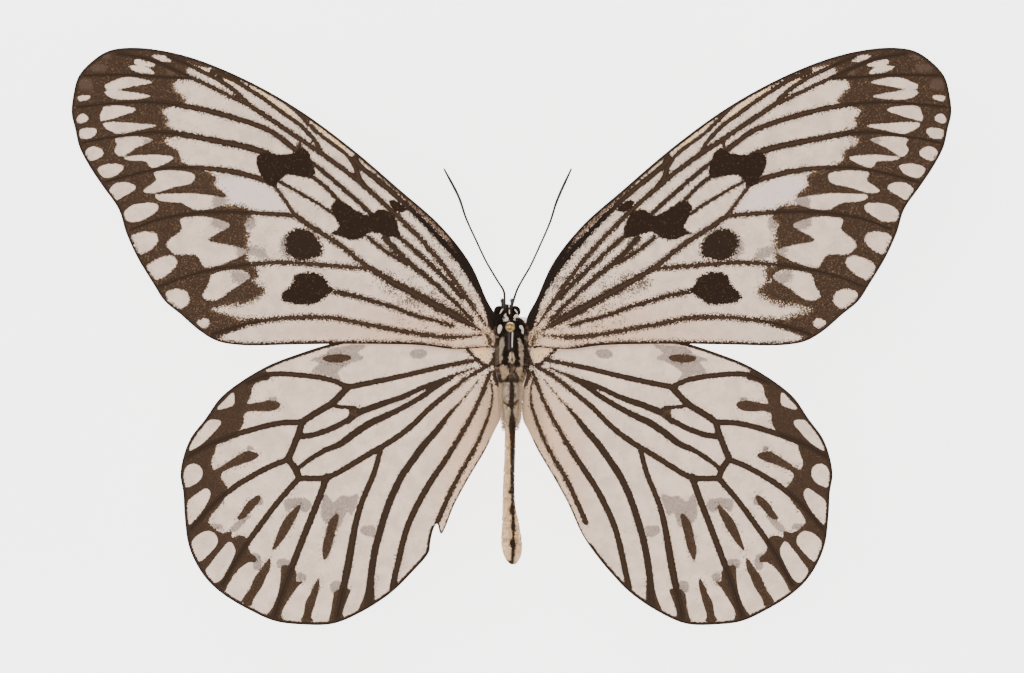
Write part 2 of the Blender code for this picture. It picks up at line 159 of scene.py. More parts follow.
# Curves and distances in the plane
def flowLine(points, step, closed=False):
    # evenly spaced points on the centripetal curve through the given ones
    knots = np.array(points, float)
    if closed:
        knots = np.vstack([knots[-1:], knots, knots[:2]])
    else:
        knots = np.vstack([2 * knots[0] - knots[1], knots, 2 * knots[-1] - knots[-2]])
    fine = []
    for number in range(1, len(knots) - 2):
        p0, p1, p2, p3 = knots[number - 1:number + 3]
        t1 = max(np.linalg.norm(p1 - p0), 1e-6) ** 0.5
        t2 = t1 + max(np.linalg.norm(p2 - p1), 1e-6) ** 0.5
        t3 = t2 + max(np.linalg.norm(p3 - p2), 1e-6) ** 0.5
        t = np.linspace(t1, t2, 12, endpoint=False)[:, None]
        a1 = (t1 - t) / t1 * p0 + t / t1 * p1
        a2 = (t2 - t) / (t2 - t1) * p1 + (t - t1) / (t2 - t1) * p2
        a3 = (t3 - t) / (t3 - t2) * p2 + (t - t2) / (t3 - t2) * p3
        b1 = (t2 - t) / t2 * a1 + t / t2 * a2
        b2 = (t3 - t) / (t3 - t1) * a2 + (t - t1) / (t3 - t1) * a3
        fine.append((t2 - t) / (t2 - t1) * b1 + (t - t1) / (t2 - t1) * b2)
    fine = np.vstack(fine + [knots[-2:-1]])
    lengths = np.concatenate([[0.0], np.cumsum(np.linalg.norm(np.diff(fine, axis=0), axis=1))])
    count = max(2, round(lengths[-1] / step))
    places = np.linspace(0.0, lengths[-1], count + 1)
    line = np.stack([np.interp(places, lengths, fine[:, axis]) for axis in range(fine.shape[1])], axis=1)
    return line[:-1] if closed else line


def headings(line):
    # the unit way that a line runs at each of its points
    ways = np.gradient(line, axis=0)
    return ways / np.linalg.norm(ways, axis=1)[:, None]


def alongLine(values, count):
    # values spread evenly along a line of that many points
    if len(values) == 1:
        return np.full(count, values[0])
    return np.interp(np.linspace(0.0, 1.0, count), np.linspace(0.0, 1.0, len(values)), values)


def lineDistance(places, line, reach, widths=(0.0,)):
    # how far each place is from the edge of a drawn line, at most reach
    half = alongLine(widths, len(line)) / 2
    best = np.full(len(places), reach)
    for start, end, first, last in zip(line[:-1], line[1:], half[:-1], half[1:]):
        low = np.minimum(start, end) - reach - max(first, last)
        high = np.maximum(start, end) + reach + max(first, last)
        near = np.flatnonzero(((places > low) & (places < high)).all(axis=1))
        if not len(near):
            continue
        way = end - start
        away = places[near] - start
        share = np.clip(away @ way / max(way @ way, 1e-12), 0.0, 1.0)
        distance = np.linalg.norm(away - share[:, None] * way, axis=1) - (first + (last - first) * share)
        best[near] = np.minimum(best[near], distance)
    return best


def insideLoop(places, loop):
    inside = np.zeros(len(places), bool)
    for start, end in zip(loop, np.roll(loop, -1, axis=0)):
        crosses = (start[1] > places[:, 1]) != (end[1] > places[:, 1])
        if start[1] != end[1]:
            where = (end[0] - start[0]) * (places[:, 1] - start[1]) / (end[1] - start[1]) + start[0]
            inside ^= crosses & (places[:, 0] < where)
    return inside


def shapeDistance(places, shape, reach=2.0, step=0.3):
    # distance from the edge of a closed shape, below zero inside it
    loop = flowLine(shape, step, closed=True)
    distance = lineDistance(places, np.vstack([loop, loop[:1]]), reach)
    return np.where(insideLoop(places, loop), -distance, distance)


def nearestShape(places, shapes, reach=2.0):
    # distance from the edge of whichever shape is nearest
    nearest = np.full(len(places), reach)
    for shape in shapes:
        nearest = np.minimum(nearest, shapeDistance(places, shape, reach))
    return nearest


def fade(value, low, high):
    # 0 below low, 1 above high, smooth between
    share = np.clip((value - low) / (high - low), 0.0, 1.0)
    return share * share * (3.0 - 2.0 * share)


def addObject(name, data):
    made = bpy.data.objects.new(name, data)
    bpy.context.scene.collection.objects.link(made)
    return made


def addMesh(name, points, faces, material, smoothAngle=60.0):
    # points in millimetres become a mesh in metres that sits at the origin
    mesh = bpy.data.meshes.new(name)
    mesh.from_pydata((np.asarray(points, float) * mm).tolist(), [], faces)
    mesh.materials.append(material)
    mesh.shade_smooth()
    mesh.set_sharp_from_angle(angle=math.radians(smoothAngle))
    return addObject(name, mesh)


def keepValue(piece, name, values, kind="FLOAT"):
    # a number, a vector or a colour for each point of the piece
    field = {"FLOAT": "value", "FLOAT_VECTOR": "vector", "FLOAT_COLOR": "color"}[kind]
    layer = piece.data.attributes.new(name, kind, "POINT")
    layer.data.foreach_set(field, np.asarray(values, np.float32).ravel())


def settle(piece, slot, *nodes):
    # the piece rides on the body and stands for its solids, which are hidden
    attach(piece, "root")
    if nodes:
        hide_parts(*nodes)
    return piece


# The forewing, drawn once on the left wing of the specimen: outline, veins and markings.
# A vein or a bar is (widths spread evenly along it, points).
foreWing = {
    "softSpot": "roundUpper",
    "frontRoot": [(2.2, 2.8), (3.6, 5.6), (6.2, 11), (9.6, 15.4), (8.3, 12.8), (6.3, 9.2), (4.4, 5.2),
        (2.9, 0.9)],
    "dustUnder": [(21, 8.2), (18, 9.6), (12.2, 6.6), (4.7, 2.2), (6.2, 1.3), (12.2, 3.2), (17.5, 5.6)],
    "outline": [(2.3, 2.7), (3.7, 5.5), (6.2, 11), (10.6, 16.6), (16.7, 22), (24.2, 28.4), (31.7, 33.9),
        (39.2, 38.2), (46.7, 41.4), (52, 42.8), (56.9, 43.3), (60.4, 42.8), (62.9, 41.2), (64.9, 38.9),
        (65.7, 35.9), (65.9, 33.4), (65.4, 31.2), (64.7, 28.3), (63, 25.1), (61.1, 22.3), (58.9, 19.1),
        (57.7, 15.4), (56, 11.7), (53.5, 7.6), (52, 5.3), (49.6, 3.3), (46.7, 0.8), (44.1, -0.7),
        (40.7, -1.3), (31.7, -1.2), (22.7, -1.1), (13.7, -1.3), (8.5, -1.9), (4.1, -1.6), (2.3, -1.3)],
    "veins": {
        "subcosta": ((0.2, 0.75, 0.75, 0.75, 0.75), [(2.8, 1.5), (5, 6.9), (7.7, 11.1), (12.2, 16.2),
            (18.2, 21.9), (22.9, 25.8), (23.6, 26.8)]),
        "radius": ((0.1,) + (0.68,) * 11, [(3.85, 1.65), (4.6, 2.75), (6.7, 5.8), (10.7, 11.2),
            (15.2, 16.2), (24.2, 24.3), (33.2, 30.6), (39.2, 34.6)]),
        "radius1": ((0.5, 0.45, 0.4), [(22.6, 22.9), (23.0, 24.2), (23.7, 25.8), (24.8, 27.3),
            (26.7, 28.8), (29, 30.5), (31, 32.4), (32, 33.45), (33.2, 34.55), (34, 35.3)]),
        "radius2": ((0.53,), [(28.4, 27.6), (29.6, 29.5), (30.7, 30.7), (32, 31.95), (33.4, 32.9),
            (37.7, 36), (42.2, 38.7), (44.9, 39.8)]),
        "radius3": ((0.6, 0.45), [(39.4, 34.8), (42.2, 37.4), (46.7, 39.9), (51.5, 42)]),
        "radius4": ((0.53,), [(39.2, 34.6), (48.2, 38.9), (54.2, 41.5), (59, 42.4)]),
        "radius5": ((0.45, 0.3), [(47.9, 38.7), (52.7, 38.9), (57.2, 39.2), (64, 39.1)]),
        "cellEnd": ((0.45,), [(31.7, 29.2), (32.3, 27.6), (34.1, 25.6), (35.8, 23.4), (34.4, 21),
            (32.3, 18.1)]),
        "media1": ((0.75, 0.75, 0.75, 0.3, 0.3), [(32.2, 27.9), (36.2, 30.8), (40.7, 32.5), (46.7, 34.1),
            (52.7, 35), (58.5, 35), (65, 34.4)]),
        "media2": ((0.9, 0.9, 0.8, 0.3, 0.3), [(34.1, 26.1), (37.7, 27.8), (43.7, 29.2), (52.7, 30.6),
            (60.2, 29.8), (64.3, 29)]),
        "media3": ((0.75, 0.75, 0.3, 0.3), [(35.5, 22.8), (39.2, 24.1), (43.7, 25), (51.2, 25.3),
            (55.7, 24.5), (60.8, 23.2)]),
        "cubitus": ((0.08, 1.25, 1.25, 1.1, 0.95, 0.75, 0.75, 0.75, 0.75), [(4.3, 0.7), (7.7, 2.7),
            (12.2, 5.1), (21.2, 10.2), (25.7, 13.7), (30.2, 16.6), (32.3, 18.1)]),
        "cubitus1": ((0.6, 0.6, 0.3), [(32.3, 18.1), (36.2, 18.4), (42.2, 18.7), (48.2, 18.4),
            (52.7, 17.6), (56.8, 16.1)]),
        "cubitus2": ((0.6, 0.6, 0.3), [(21.2, 10.2), (25.7, 10.5), (34.7, 11.1), (43.7, 10.2),
            (48.2, 9.2), (53, 7.4)]),
        "anal": ((0.05,) + (0.6,) * 8, [(4.5, 0.25), (9.2, -0.1), (15.2, 0.6), (21.2, 1.7), (27.2, 2.8),
            (33.2, 2.8), (39.2, 2), (44.8, 0.4)]),
    },
    "bars": {
        "linkSc": ((0.82,), [(23.2, 25.9), (23.2, 24.6), (22.7, 23.4), (21.8, 22.3)]),
        "fold": ((0.68, 0.5), [(26.5, 6.7), (23.5, 6.1), (20.5, 5.2), (17.5, 4.3), (14.5, 3.2),
            (10.7, 2.2), (8.9, 1.6)]),
        "cellA": ((0.55,), [(31.7, 24.3), (29.9, 23.9), (28.7, 23.1), (26.5, 21), (25.7, 20.1)]),
        "cellB": ((0.6,), [(30.1, 26.2), (27.8, 24.4), (25.4, 22.3), (23, 20.2), (21.1, 18.4)]),
        "cellC": ((0.42,), [(34.7, 23.2), (31.7, 21.5), (29, 19.9), (26.8, 18.4)]),
        "rayA": ((0.66,), [(16.7, 14.8), (14.5, 12.9), (12.2, 10.8), (9.2, 7.9), (7.3, 5.8)]),
        "rayB": ((0.95, 0.5), [(19, 14.8), (16.4, 12), (12.2, 8.5), (9.2, 5.8), (5.9, 2.5)]),
        "rayC": ((0.6,), [(21.5, 14.9), (19, 12.9), (15.5, 10.8)]),
    },
    "spots": {
        "cellPair": [(27.1, 19.5), (26.5, 20.3), (25.6, 20.4), (23.5, 19.2), (21.5, 18.2), (19.9, 19.1),
            (17.9, 18.6), (16.9, 16.3), (16.7, 14.8), (18.2, 14.8), (21.1, 15.6), (22.4, 14.7),
            (24.2, 14.4), (26, 15.1), (27.1, 15.4), (25.9, 16.5), (26.3, 17.2), (26.8, 18.3)],
        "cellSmall": [(18.4, 20.3), (17.6, 20.5), (16.6, 19.9), (15.7, 19.2), (16.2, 18.6), (17.3, 18.7),
            (18.2, 19.5)],
        "cellEnd": [(37.4, 27.6), (34.7, 27.3), (32.3, 27.8), (31.9, 28.3), (30.8, 28.1), (29.9, 26.4),
            (29.6, 24.1), (31.7, 24), (34, 24.1), (35.3, 22.6), (35.9, 22.5), (37.7, 24.3), (38.2, 27)],
        "roundUpper": [(34.1, 14.3), (33.7, 15.5), (31.8, 16.3), (29.9, 15.8), (28.4, 14), (28.4, 12.2),
            (29.8, 11.5), (32.3, 11.3), (33.8, 12.8)],
        "roundLower": [(32.5, 9.2), (30.2, 9.7), (28.1, 9), (27.2, 7.6), (26.6, 6.9), (28, 5.8),
            (29.6, 4.8), (32, 4.8), (34.1, 5.2), (34.6, 5.8), (33.8, 7.1), (32.9, 7.9)],
    },
    "darkZone": {
        "border": [(44.6, 40.5), (48.2, 40.5), (48.7, 39.4), (47.9, 38.7), (50.3, 38.3), (50.6, 37.4),
            (49.6, 36.3), (48.8, 35.1), (52.3, 33.9), (51.5, 32.4), (51.7, 31.7), (49, 30.3), (52, 29.5),
            (51.1, 28.5), (49.9, 27.8), (49.6, 26.4), (47.5, 25.3), (44.6, 24.3), (44.3, 23.4),
            (44.6, 22.8), (42.8, 21.1), (43.4, 19.9), (40.7, 19.6), (39.2, 18.8), (39.2, 17.8),
            (40, 16.9), (39.5, 15.3), (39.7, 13.5), (39.2, 10.5), (38.3, 10.5), (38.3, 8.5), (39.1, 8.5),
            (37.1, 7.2), (37, 6.6), (40.6, 4.8), (42.7, 4.7), (44.9, 4), (42.8, 3.3), (40.7, 2.7),
            (36.8, 2.7), (39.2, 1.5), (43.4, -0.1), (46, -2.1), (67.7, -2.1), (67.7, 45.9), (44.6, 45.9)],
        "base": [(11.2, 14.4), (9.7, 14.4), (6.4, 11.4), (4.6, 8.4), (3.7, 5.4), (3.1, 3.9), (2.5, 2.4),
            (2.3, 0.6), (2.7, 1.5), (3.6, 3.4), (4.5, 5.3), (6.1, 8.2), (7.7, 10.4), (9.7, 12.8)],
        "rootEnd": [(2, 2.6), (2.7, 2.6), (2.9, 1.6), (2.75, 1.05), (2.3, 0.6), (2, 0.6)],
        "hinge": [(2, 0.9), (3.3, 0.95), (3.8, 0.6), (3.65, -0.4), (3.3, -1.5), (2.9, -2.1), (2, -2.1)],
    },
    "windows": {
        "hinge": [(4.2, 1.0), (3.5, 1.35), (2.95, 0.9), (2.35, -0.3), (2.4, -0.85), (2.8, -0.7),
            (3.4, 0.2)],
        "hingeLow": [(2.9, -0.85), (2.55, -0.95), (2.75, -1.5), (3.0, -1.35)],
        "m1": [(65, 35.9), (63.2, 36.1), (63, 35.8), (64.7, 35.3)],
        "m2": [(64.3, 33.4), (63.4, 32.9), (63.6, 32.3), (65, 32), (65.1, 32.7)],
        "m3": [(64.7, 30.9), (62.5, 31.2), (62.1, 30.8), (62.9, 29.8), (64.6, 29.8)],
        "m4": [(63.8, 27.8), (62.6, 28.5), (61.2, 27.8), (61.2, 27.2), (63.2, 26.3), (63.7, 26.8)],
        "m5": [(62, 25.1), (60.7, 25.8), (58.7, 25.8), (58.1, 25.5), (58.9, 24.4), (61, 23.8)],
        "m6": [(60.3, 21.8), (59.3, 22.9), (57.2, 23), (56.3, 22.3), (58, 21.1), (59.5, 20.4)],
        "m7": [(58.1, 18.4), (56.9, 19.6), (53.3, 19.9), (52.9, 19.3), (54.1, 18.1), (56.2, 17.2),
            (57.9, 17.5)],
        "m8": [(57.1, 14.7), (55.7, 15.6), (53.3, 15.4), (53, 14.3), (54.2, 13), (56, 12.4)],
        "m9": [(54.7, 10.3), (53.3, 11.5), (50.9, 12.1), (50.1, 11.2), (50.8, 10), (53.5, 8.5)],
        "m10": [(51.8, 6.5), (50.3, 7.1), (48.7, 6.6), (48.3, 5.2), (49.9, 4.1), (51.6, 5.3)],
        "m11": [(47.2, 2.2), (45.8, 2.7), (45.2, 2.1), (46, 1.2), (46.7, 1.4)],
        "s1": [(53.9, 42.1), (52.1, 42.1), (50.8, 41.3), (52.4, 41.2)],
        "s2": [(56.6, 41.2), (56, 41.6), (53.9, 41.1), (53.2, 40.6), (55.9, 40.6)],
        "s3": [(57.4, 40.4), (56.6, 40.6), (54.5, 40.3), (53.5, 39.4), (55.6, 39.5)],
        "s4": [(61, 37.5), (59.6, 38.3), (57.5, 38.9), (55, 38.5), (53.9, 38.1), (56.2, 37.6),
            (60.4, 37)],
        "s5": [(61, 36.6), (60.3, 36.9), (56.3, 36.5), (54.2, 36), (56, 35.6), (59.7, 35.7)],
        "s6": [(61, 34.4), (59, 34.6), (56.2, 34), (58.1, 33.2), (60.4, 32.5), (61.6, 32.4)],
        "s7": [(61.3, 31.8), (60.2, 32.1), (56, 31.9), (53.2, 31.6), (55.6, 31), (59, 30.4)],
        "s8": [(59.4, 29.6), (57.2, 30), (53.8, 29.5), (56.2, 28.3), (58.6, 27), (59.5, 27.8),
            (59.1, 28.9)],
        "s9": [(58.3, 26.8), (56.3, 27.1), (53.2, 27.2), (50.6, 26.8), (52, 25.9), (53.9, 25.3),
            (54.8, 26.2), (57.2, 26.4)],
        "s10": [(53.6, 24.5), (51.2, 24.9), (47.5, 24.2), (47.9, 23.1), (50.6, 22.4), (53.9, 21.5),
            (55.2, 21.8), (53.2, 23.5)],
        "s11": [(53.5, 21.1), (50.9, 21.4), (46.4, 21.3), (42.2, 20.4), (44.9, 19.2), (47.5, 19),
            (49.4, 20), (52.7, 20.4)],
        "s12": [(49.7, 17.5), (47.5, 18), (44.6, 17.7), (42.2, 16.7), (45.5, 14.5), (41.9, 13.6),
            (39.7, 12.8), (42.5, 11.2), (45.8, 10.3), (47.3, 12.2), (50.5, 12.4), (51.7, 13.9),
            (49.4, 16.1)],
        "s14": [(44.9, 9.2), (43, 9.9), (40.3, 9.9), (39.2, 9), (41.8, 7.2), (44.3, 5.5), (46.3, 5.9),
            (45.5, 7.6)],
        "s15": [(42.2, 0.4), (39.2, 1.3), (34.7, 2.1), (31.7, 2.4), (31.7, -0.8), (39.2, -1), (43, -0.5),
            (43.4, -0.1)],
    },
    "grey": {
        "g8": [(55.3, 29.7), (53.8, 29.5), (55, 28.8)],
        "g9": [(47.3, 24.4), (45.2, 24), (45.2, 23.4), (47.2, 23.4)],
        "g11": [(44.6, 21), (42.2, 20.4), (44.6, 19.3)],
        "g12": [(44.9, 17.8), (42.1, 16.8), (43, 15.9), (44.8, 16.6)],
        "g13": [(41.2, 13.5), (39.4, 12.9), (40.7, 11.7), (41.2, 12.3)],
        "g14": [(39.8, 13.5), (37.4, 13.3), (36.2, 11.5), (39.2, 12.3)],
        "g15": [(40, 17.8), (38.6, 17.8), (38.6, 16.2), (39.8, 16.2)],
        "g16": [(41.9, 9.9), (39.2, 9), (40.7, 7.9), (41.9, 8.4)],
        "g17": [(33.8, 15.4), (34.7, 14.2), (34.6, 12.6), (33.5, 11.5), (32.9, 12.6)],
    },
    "pale": {
        "p1": [(62.9, 40.6), (60.7, 40.6), (60.7, 39.9), (62.9, 39.9)],
        "p2": [(64.7, 38.4), (62.9, 38.4), (62.9, 37.2), (64.7, 37.2)],
        "p3": [(61.3, 42.4), (60.2, 42.4), (60.2, 41.7), (61.3, 41.7)],
        "p4": [(51.5, 39.9), (49.4, 39.9), (49.4, 39), (51.5, 39)],
    },
    "lilac": {
        "m3cell": [(44.3, 23.2), (41.9, 24), (38.9, 23.4), (36.2, 22.1), (34.3, 19.8), (34, 18.6),
            (38.5, 19.1), (41.8, 20.1), (43.7, 22)],
    },
    "tan": {
        "strip": [(6.4, 10.4), (8.6, 13), (12.4, 16.9), (16.6, 20.9), (20, 24.2), (23.2, 26.9),
            (23.6, 27.5), (20, 25), (16.4, 21.9), (10.6, 17), (6.6, 11.6)],
        "costaA": [(31.1, 33), (29.9, 31.9), (28.7, 30.8), (27.2, 29.5), (26.2, 28.5), (24.9, 27.7),
            (24.6, 28), (25.3, 28.9), (26.7, 30.1), (28, 31.2), (29.4, 32.2), (30.7, 33.1)],
        "costaB": [(38.9, 37.5), (35.5, 35.6), (34.2, 34.8), (32.7, 33.4), (31.2, 31.9), (31, 31.5),
            (32, 32.3), (33.4, 33.2), (34.9, 34.4), (38.9, 36.7)],
        "costaC": [(45.7, 40), (43.4, 39.3), (41.5, 38.4), (41.5, 37.8), (43.7, 38.5), (45.7, 39.4)],
    },
}


# The hindwing: the left one has a tear in its inner edge, and the right one is whole and a little narrower
hindWing = {
    "front": [(2.3, -2.2), (6.2, -0.8), (10.7, 0.1), (16.7, 0.2), (22, -0.1), (27.2, -1.1), (31.7, -2.5),
        (36.2, -4.2), (40.7, -6.8), (43.7, -9.2), (46, -12.4), (48.2, -15.3), (49.4, -18.6),
        (49.7, -20.9), (49.3, -23.4), (49.1, -26.8), (48.5, -31.3), (47.2, -34.4), (45.4, -36.9),
        (42.8, -39.1), (39.2, -41.2), (35.5, -42.8), (31.7, -43.3), (26.9, -43.2), (22.7, -41.5),
        (18.2, -38.6), (15.2, -35.7), (12.4, -32.4)],
    "tear": [(12.2, -31), (11.7, -28.9), (11.2, -28.1)],
    "inner": [(10.6, -29.7), (8.5, -25.1), (6.2, -20.9), (4, -17.2), (2.5, -14.1), (1.7, -12.4),
        (1.65, -9.6), (1.85, -7.3), (2.3, -5.6)],
    "narrowFrom": 12.2,
    "rightWidth": 0.96,
    "veins": {
        "subcosta": ((0.5, 0.68), [(5.2, -3.45), (6.2, -3.7), (10.7, -4.6), (16.7, -6), (24.5, -7.6)]),
        "radialSector": ((0.6,), [(24.5, -7.6), (27.2, -6.5), (31.7, -5.8), (36.2, -5.7), (39.7, -6.9)]),
        "cellEnd": ((0.83,), [(24.5, -7.6), (27.1, -10.1), (29.2, -11.4), (31.4, -12.9), (31.8, -14.1),
            (32.2, -15.2), (33.1, -17.4), (33.5, -18.3), (32.5, -19.8), (31.9, -21.3)]),
        "media1": ((0.68,), [(31.4, -12.9), (34.7, -13), (40.7, -14.5), (46, -16.5), (48.8, -18.1)]),
        "media2": ((0.68,), [(33.3, -18.4), (36.2, -19.5), (41, -22.2), (44.5, -24.9), (48.1, -28.8)]),
        "media3": ((0.68,), [(31.9, -21.3), (34.7, -24.4), (38.3, -29.1), (40.7, -32.5), (43.4, -37.2)]),
        "cubitus1": ((0.83,), [(27.7, -21), (28.9, -24.3), (31, -29.5), (34.3, -38.1), (35.6, -42)]),
        "cubitus2": ((0.6, 0.7, 1.0, 0.83), [(19.7, -17.1), (20.6, -20.4), (22.9, -26.1), (24.7, -35.1),
            (26.2, -42.1)]),
        "cubitus": ((0.45, 0.68, 0.68), [(3.7, -4.5), (6.2, -5.9), (8.9, -8), (12.2, -10.7),
            (15.2, -13.6), (18.2, -15.8), (22, -18), (26, -20.4), (27.8, -21.2), (31.9, -21.3)]),
        "anal1": ((0.4, 0.75, 0.75), [(3.2, -5.4), (5.3, -10.6), (9.2, -17.4), (13.1, -23.4),
            (15.7, -28.8), (17.3, -35.1), (17.9, -37.8)]),
        "anal2": ((0.0, 0.4, 0.6, 0.6), [(3.1, -6.6), (2.9, -9.6), (5, -15.7), (8.6, -22.2),
            (11.2, -28)]),
    },
    "bars": {
        "foldThin": ((-0.1, -0.06, 0.1), [(4.9, -6.5), (6.2, -8.1), (7.7, -9.9)]),
        "fold": ((0.1, 0.7, 0.9, 0.9, 0.9, 0.9, 0.9, 0.9, 0.9), [(7.7, -9.9), (9.2, -11.5), (11.3, -14.2),
            (13, -16.1), (15.5, -19.5), (16.4, -20.8), (17.9, -23.8), (19.1, -27.1), (20, -30.1),
            (20.5, -32.1), (21.1, -35.9), (21.4, -39.6), (21.5, -40.5)]),
        "cellUpper": ((0.15, 0.38, 0.53, 0.6, 0.75, 0.9), [(5.9, -4.8), (9.2, -6.1), (13.1, -7.6),
            (16.7, -9.2), (19.7, -10.2), (22.7, -11.3)]),
        "cellUpperLink": ((0.38,), [(23.5, -10.7), (25, -10.6), (26.2, -10.5), (27.1, -10.2)]),
        "cellUpperLow": ((0.67,), [(23.9, -12.2), (25, -12.8), (27.2, -13.9), (29.9, -14.8),
            (31.4, -15)]),
        "cellLower": ((0.22, 0.6, 0.67, 0.9, 0.9, 0.6, 0.45), [(8.9, -6.3), (10.7, -7.2), (13.1, -8.8),
            (16, -10.5), (19, -12), (21.2, -13), (23.5, -14.5), (25.7, -16.1), (28, -17.1), (30.2, -18.4),
            (32, -19.8)]),
        "humeral": ((0.34,), [(6.6, -2.0), (6.2, -2.35), (5.7, -3.0), (5, -3.6), (4.4, -4.15),
            (3.7, -4.3)]),
    },
    "spots": {
        "costal": [(28.4, -3.2), (27.2, -2.8), (25.6, -2.7), (24.2, -3), (24.1, -3.3), (25.4, -3.8),
            (26.6, -3.9), (28.1, -3.6)],
        "cellBlob": [(22.4, -10.9), (23.2, -10.7), (24.2, -10.5), (24.5, -10.8), (24.4, -11.5),
            (24.7, -12.2), (25.3, -12.8), (24.5, -13.2), (23.8, -12.6), (22.9, -12), (22.1, -11.4)],
        "bar1": [(37.8, -23.8), (39.5, -24.8), (40.4, -26.1), (41.2, -27.4), (40.4, -27.4), (38.9, -26),
            (37.7, -24.3)],
        "bar2": [(31.7, -25.2), (32.9, -26.1), (34.3, -27.8), (35.3, -30.1), (35.9, -32.2), (34.7, -31),
            (33.2, -28.8), (31.9, -26.2)],
        "bar2low": [(36.3, -33.3), (37.4, -34.6), (38.6, -36.3), (39.4, -38.1), (40.6, -39.8),
            (39.1, -40.5), (38.6, -39.3), (37.4, -37.5), (36.5, -35.5), (36.2, -33.6)],
        "bar3": [(26.3, -26.6), (27.4, -27.8), (28, -29.8), (28.4, -32.1), (28.1, -33.6), (27.2, -32.1),
            (26.5, -29.5), (26, -26.7)],
        "bar3low": [(29, -36.4), (30.1, -38.2), (30.9, -39.8), (31.6, -42.8), (29.9, -42.8),
            (29.5, -40.2), (29, -38.4), (28.9, -36.4)],
        "cubitusEnd": [(34.4, -34.4), (34.7, -35.9), (35, -38.4), (35.8, -40.4), (36.8, -41.9),
            (36.8, -43.8), (34.3, -43.8), (34.3, -42.6), (34.6, -41.9), (34.1, -40.5), (33.2, -39.1),
            (32, -37.4), (31.3, -36.9), (32.3, -36.8), (32.5, -35.1)],
        "cubitusEndB": [(25.7, -37.9), (26.8, -38.9), (27, -40.8), (27.5, -42.6), (27.5, -44.4),
            (25, -44.4), (25, -42.6), (25.3, -41.4), (24.7, -39.9), (24.2, -38.1)],
        "foldEnd": [(22, -35.9), (22.3, -38.1), (22.7, -40), (23, -42.6), (19.7, -42.6), (20.5, -40),
            (20.6, -38.1), (20.8, -35.9)],
    },
    "darkZone": {
        "hinge": [(1.9, -2.4), (2.75, -2.5), (2.8, -3.1), (3.3, -3.9), (3.5, -4.5), (3, -5), (2.9, -6),
            (2.55, -6.9), (2.2, -7.5), (1.7, -7.6)],
        "border": [(36.8, -5.2), (36.2, -6.3), (38, -6.8), (38.9, -7.6), (39.1, -8.7), (39.7, -10.1),
            (38, -9.9), (35.9, -9.6), (34.7, -10.1), (34.9, -10.7), (36.4, -11.2), (39.2, -11.2),
            (40.1, -11.6), (40.2, -12.8), (40.7, -13.9), (42.5, -15.6), (44.2, -16.1), (44.5, -17.2),
            (45.1, -18.9), (44.7, -20), (43.4, -19.4), (41, -17.8), (39.7, -17.2), (37.9, -17.8),
            (38.9, -18.6), (40.7, -19.2), (43.3, -20.3), (43.7, -20.8), (43, -22.2), (42.6, -22.6),
            (43.4, -24.8), (44.9, -26.6), (45.5, -27.8), (44.6, -28.9), (43.3, -29.5), (42.1, -29.3),
            (42, -30.3), (41, -29.9), (39.7, -30.3), (39.4, -30.8), (39.5, -31.6), (39.2, -32.5),
            (38.3, -33.3), (38.5, -33.9), (39.4, -33.9), (40.6, -34.6), (41.9, -36.1), (42.5, -37.4),
            (44.5, -39.6), (51.2, -39.6), (51.2, -3.6), (37.4, -3.6)],
    },
    "windows": {
        "hinge": [(3.2, -4.5), (2.8, -4.35), (2.6, -4.9), (3, -5.15)],
        "a": [(41.8, -8.4), (42.8, -9.3), (44.2, -10.9), (42.8, -10.7), (41.8, -10.3), (41.6, -9.6)],
        "b": [(43.8, -12.6), (45.4, -12.6), (46.6, -13.7), (47.9, -15.6), (48.8, -17.2), (47.3, -16.7),
            (45.2, -14.9), (43.6, -12.9)],
        "c": [(47.7, -19.1), (48.7, -19.5), (49.3, -21), (49, -22.6), (47.6, -22.2), (46.5, -21.1),
            (46.6, -19.7)],
        "d": [(45.8, -22.8), (47.2, -23.6), (48.6, -24.8), (48.8, -26.6), (48.5, -28.2), (47.6, -27.9),
            (46.4, -26.2), (45.2, -23.7), (45.4, -23.1)],
        "e": [(45.5, -29.2), (47.3, -30), (48.1, -31.3), (47.5, -33), (46.9, -33.8), (45.5, -32.7),
            (44.1, -30.8), (44.5, -29.7)],
        "f": [(42.3, -30.8), (43.7, -32.2), (45.4, -34.4), (45.9, -35.1), (45.2, -36.6), (44.6, -37),
            (43.4, -36.3), (42.1, -33.9), (41.5, -32.1)],
        "g": [(38, -34.5), (39.2, -33.9), (40.7, -35), (42.1, -36.6), (42.8, -38.1), (41.9, -39.4),
            (40.7, -39.7), (39.8, -38.2), (38.8, -36.3)],
        "h": [(34.9, -35.2), (36.4, -35.4), (37.4, -37.5), (38.9, -40), (38.6, -41.2), (37, -41.8),
            (35.8, -40.4), (34.9, -37.6)],
        "i": [(31.7, -37.6), (33.2, -39.4), (34.4, -41.4), (33.8, -42.8), (32.3, -42.9), (31.4, -42),
            (31, -39.9), (30.1, -38.1)],
        "j": [(28.7, -38.1), (29.4, -39.9), (30, -42.4), (28.7, -42.9), (27.5, -42.4), (27.1, -40.5),
            (26.9, -38.5)],
        "k": [(21.7, -30.3), (22.3, -30.6), (23.2, -33.6), (23.9, -37.4), (25.3, -42), (23.8, -41.7),
            (22.6, -40), (21.7, -36.6), (21.2, -31)],
        "ovalCell": [(24.5, -11.4), (25.7, -10.9), (27.5, -11.2), (29.3, -12.4), (30.8, -14.1),
            (31.1, -14.5), (29.6, -14.5), (27.2, -13.7), (25, -12.4)],
    },
    "grey": {
        "costal": [(27.2, -1.8), (25, -1.4), (21.7, -1.3), (22.7, -2.1), (23.1, -2.5), (22.1, -3.3),
            (23.5, -3.8), (25.1, -4.6), (26.1, -5.5), (25.4, -6.8), (27.7, -5.9), (30.1, -5.3),
            (29.2, -4.3), (28.9, -3.9), (30.4, -3.6), (28, -2.6)],
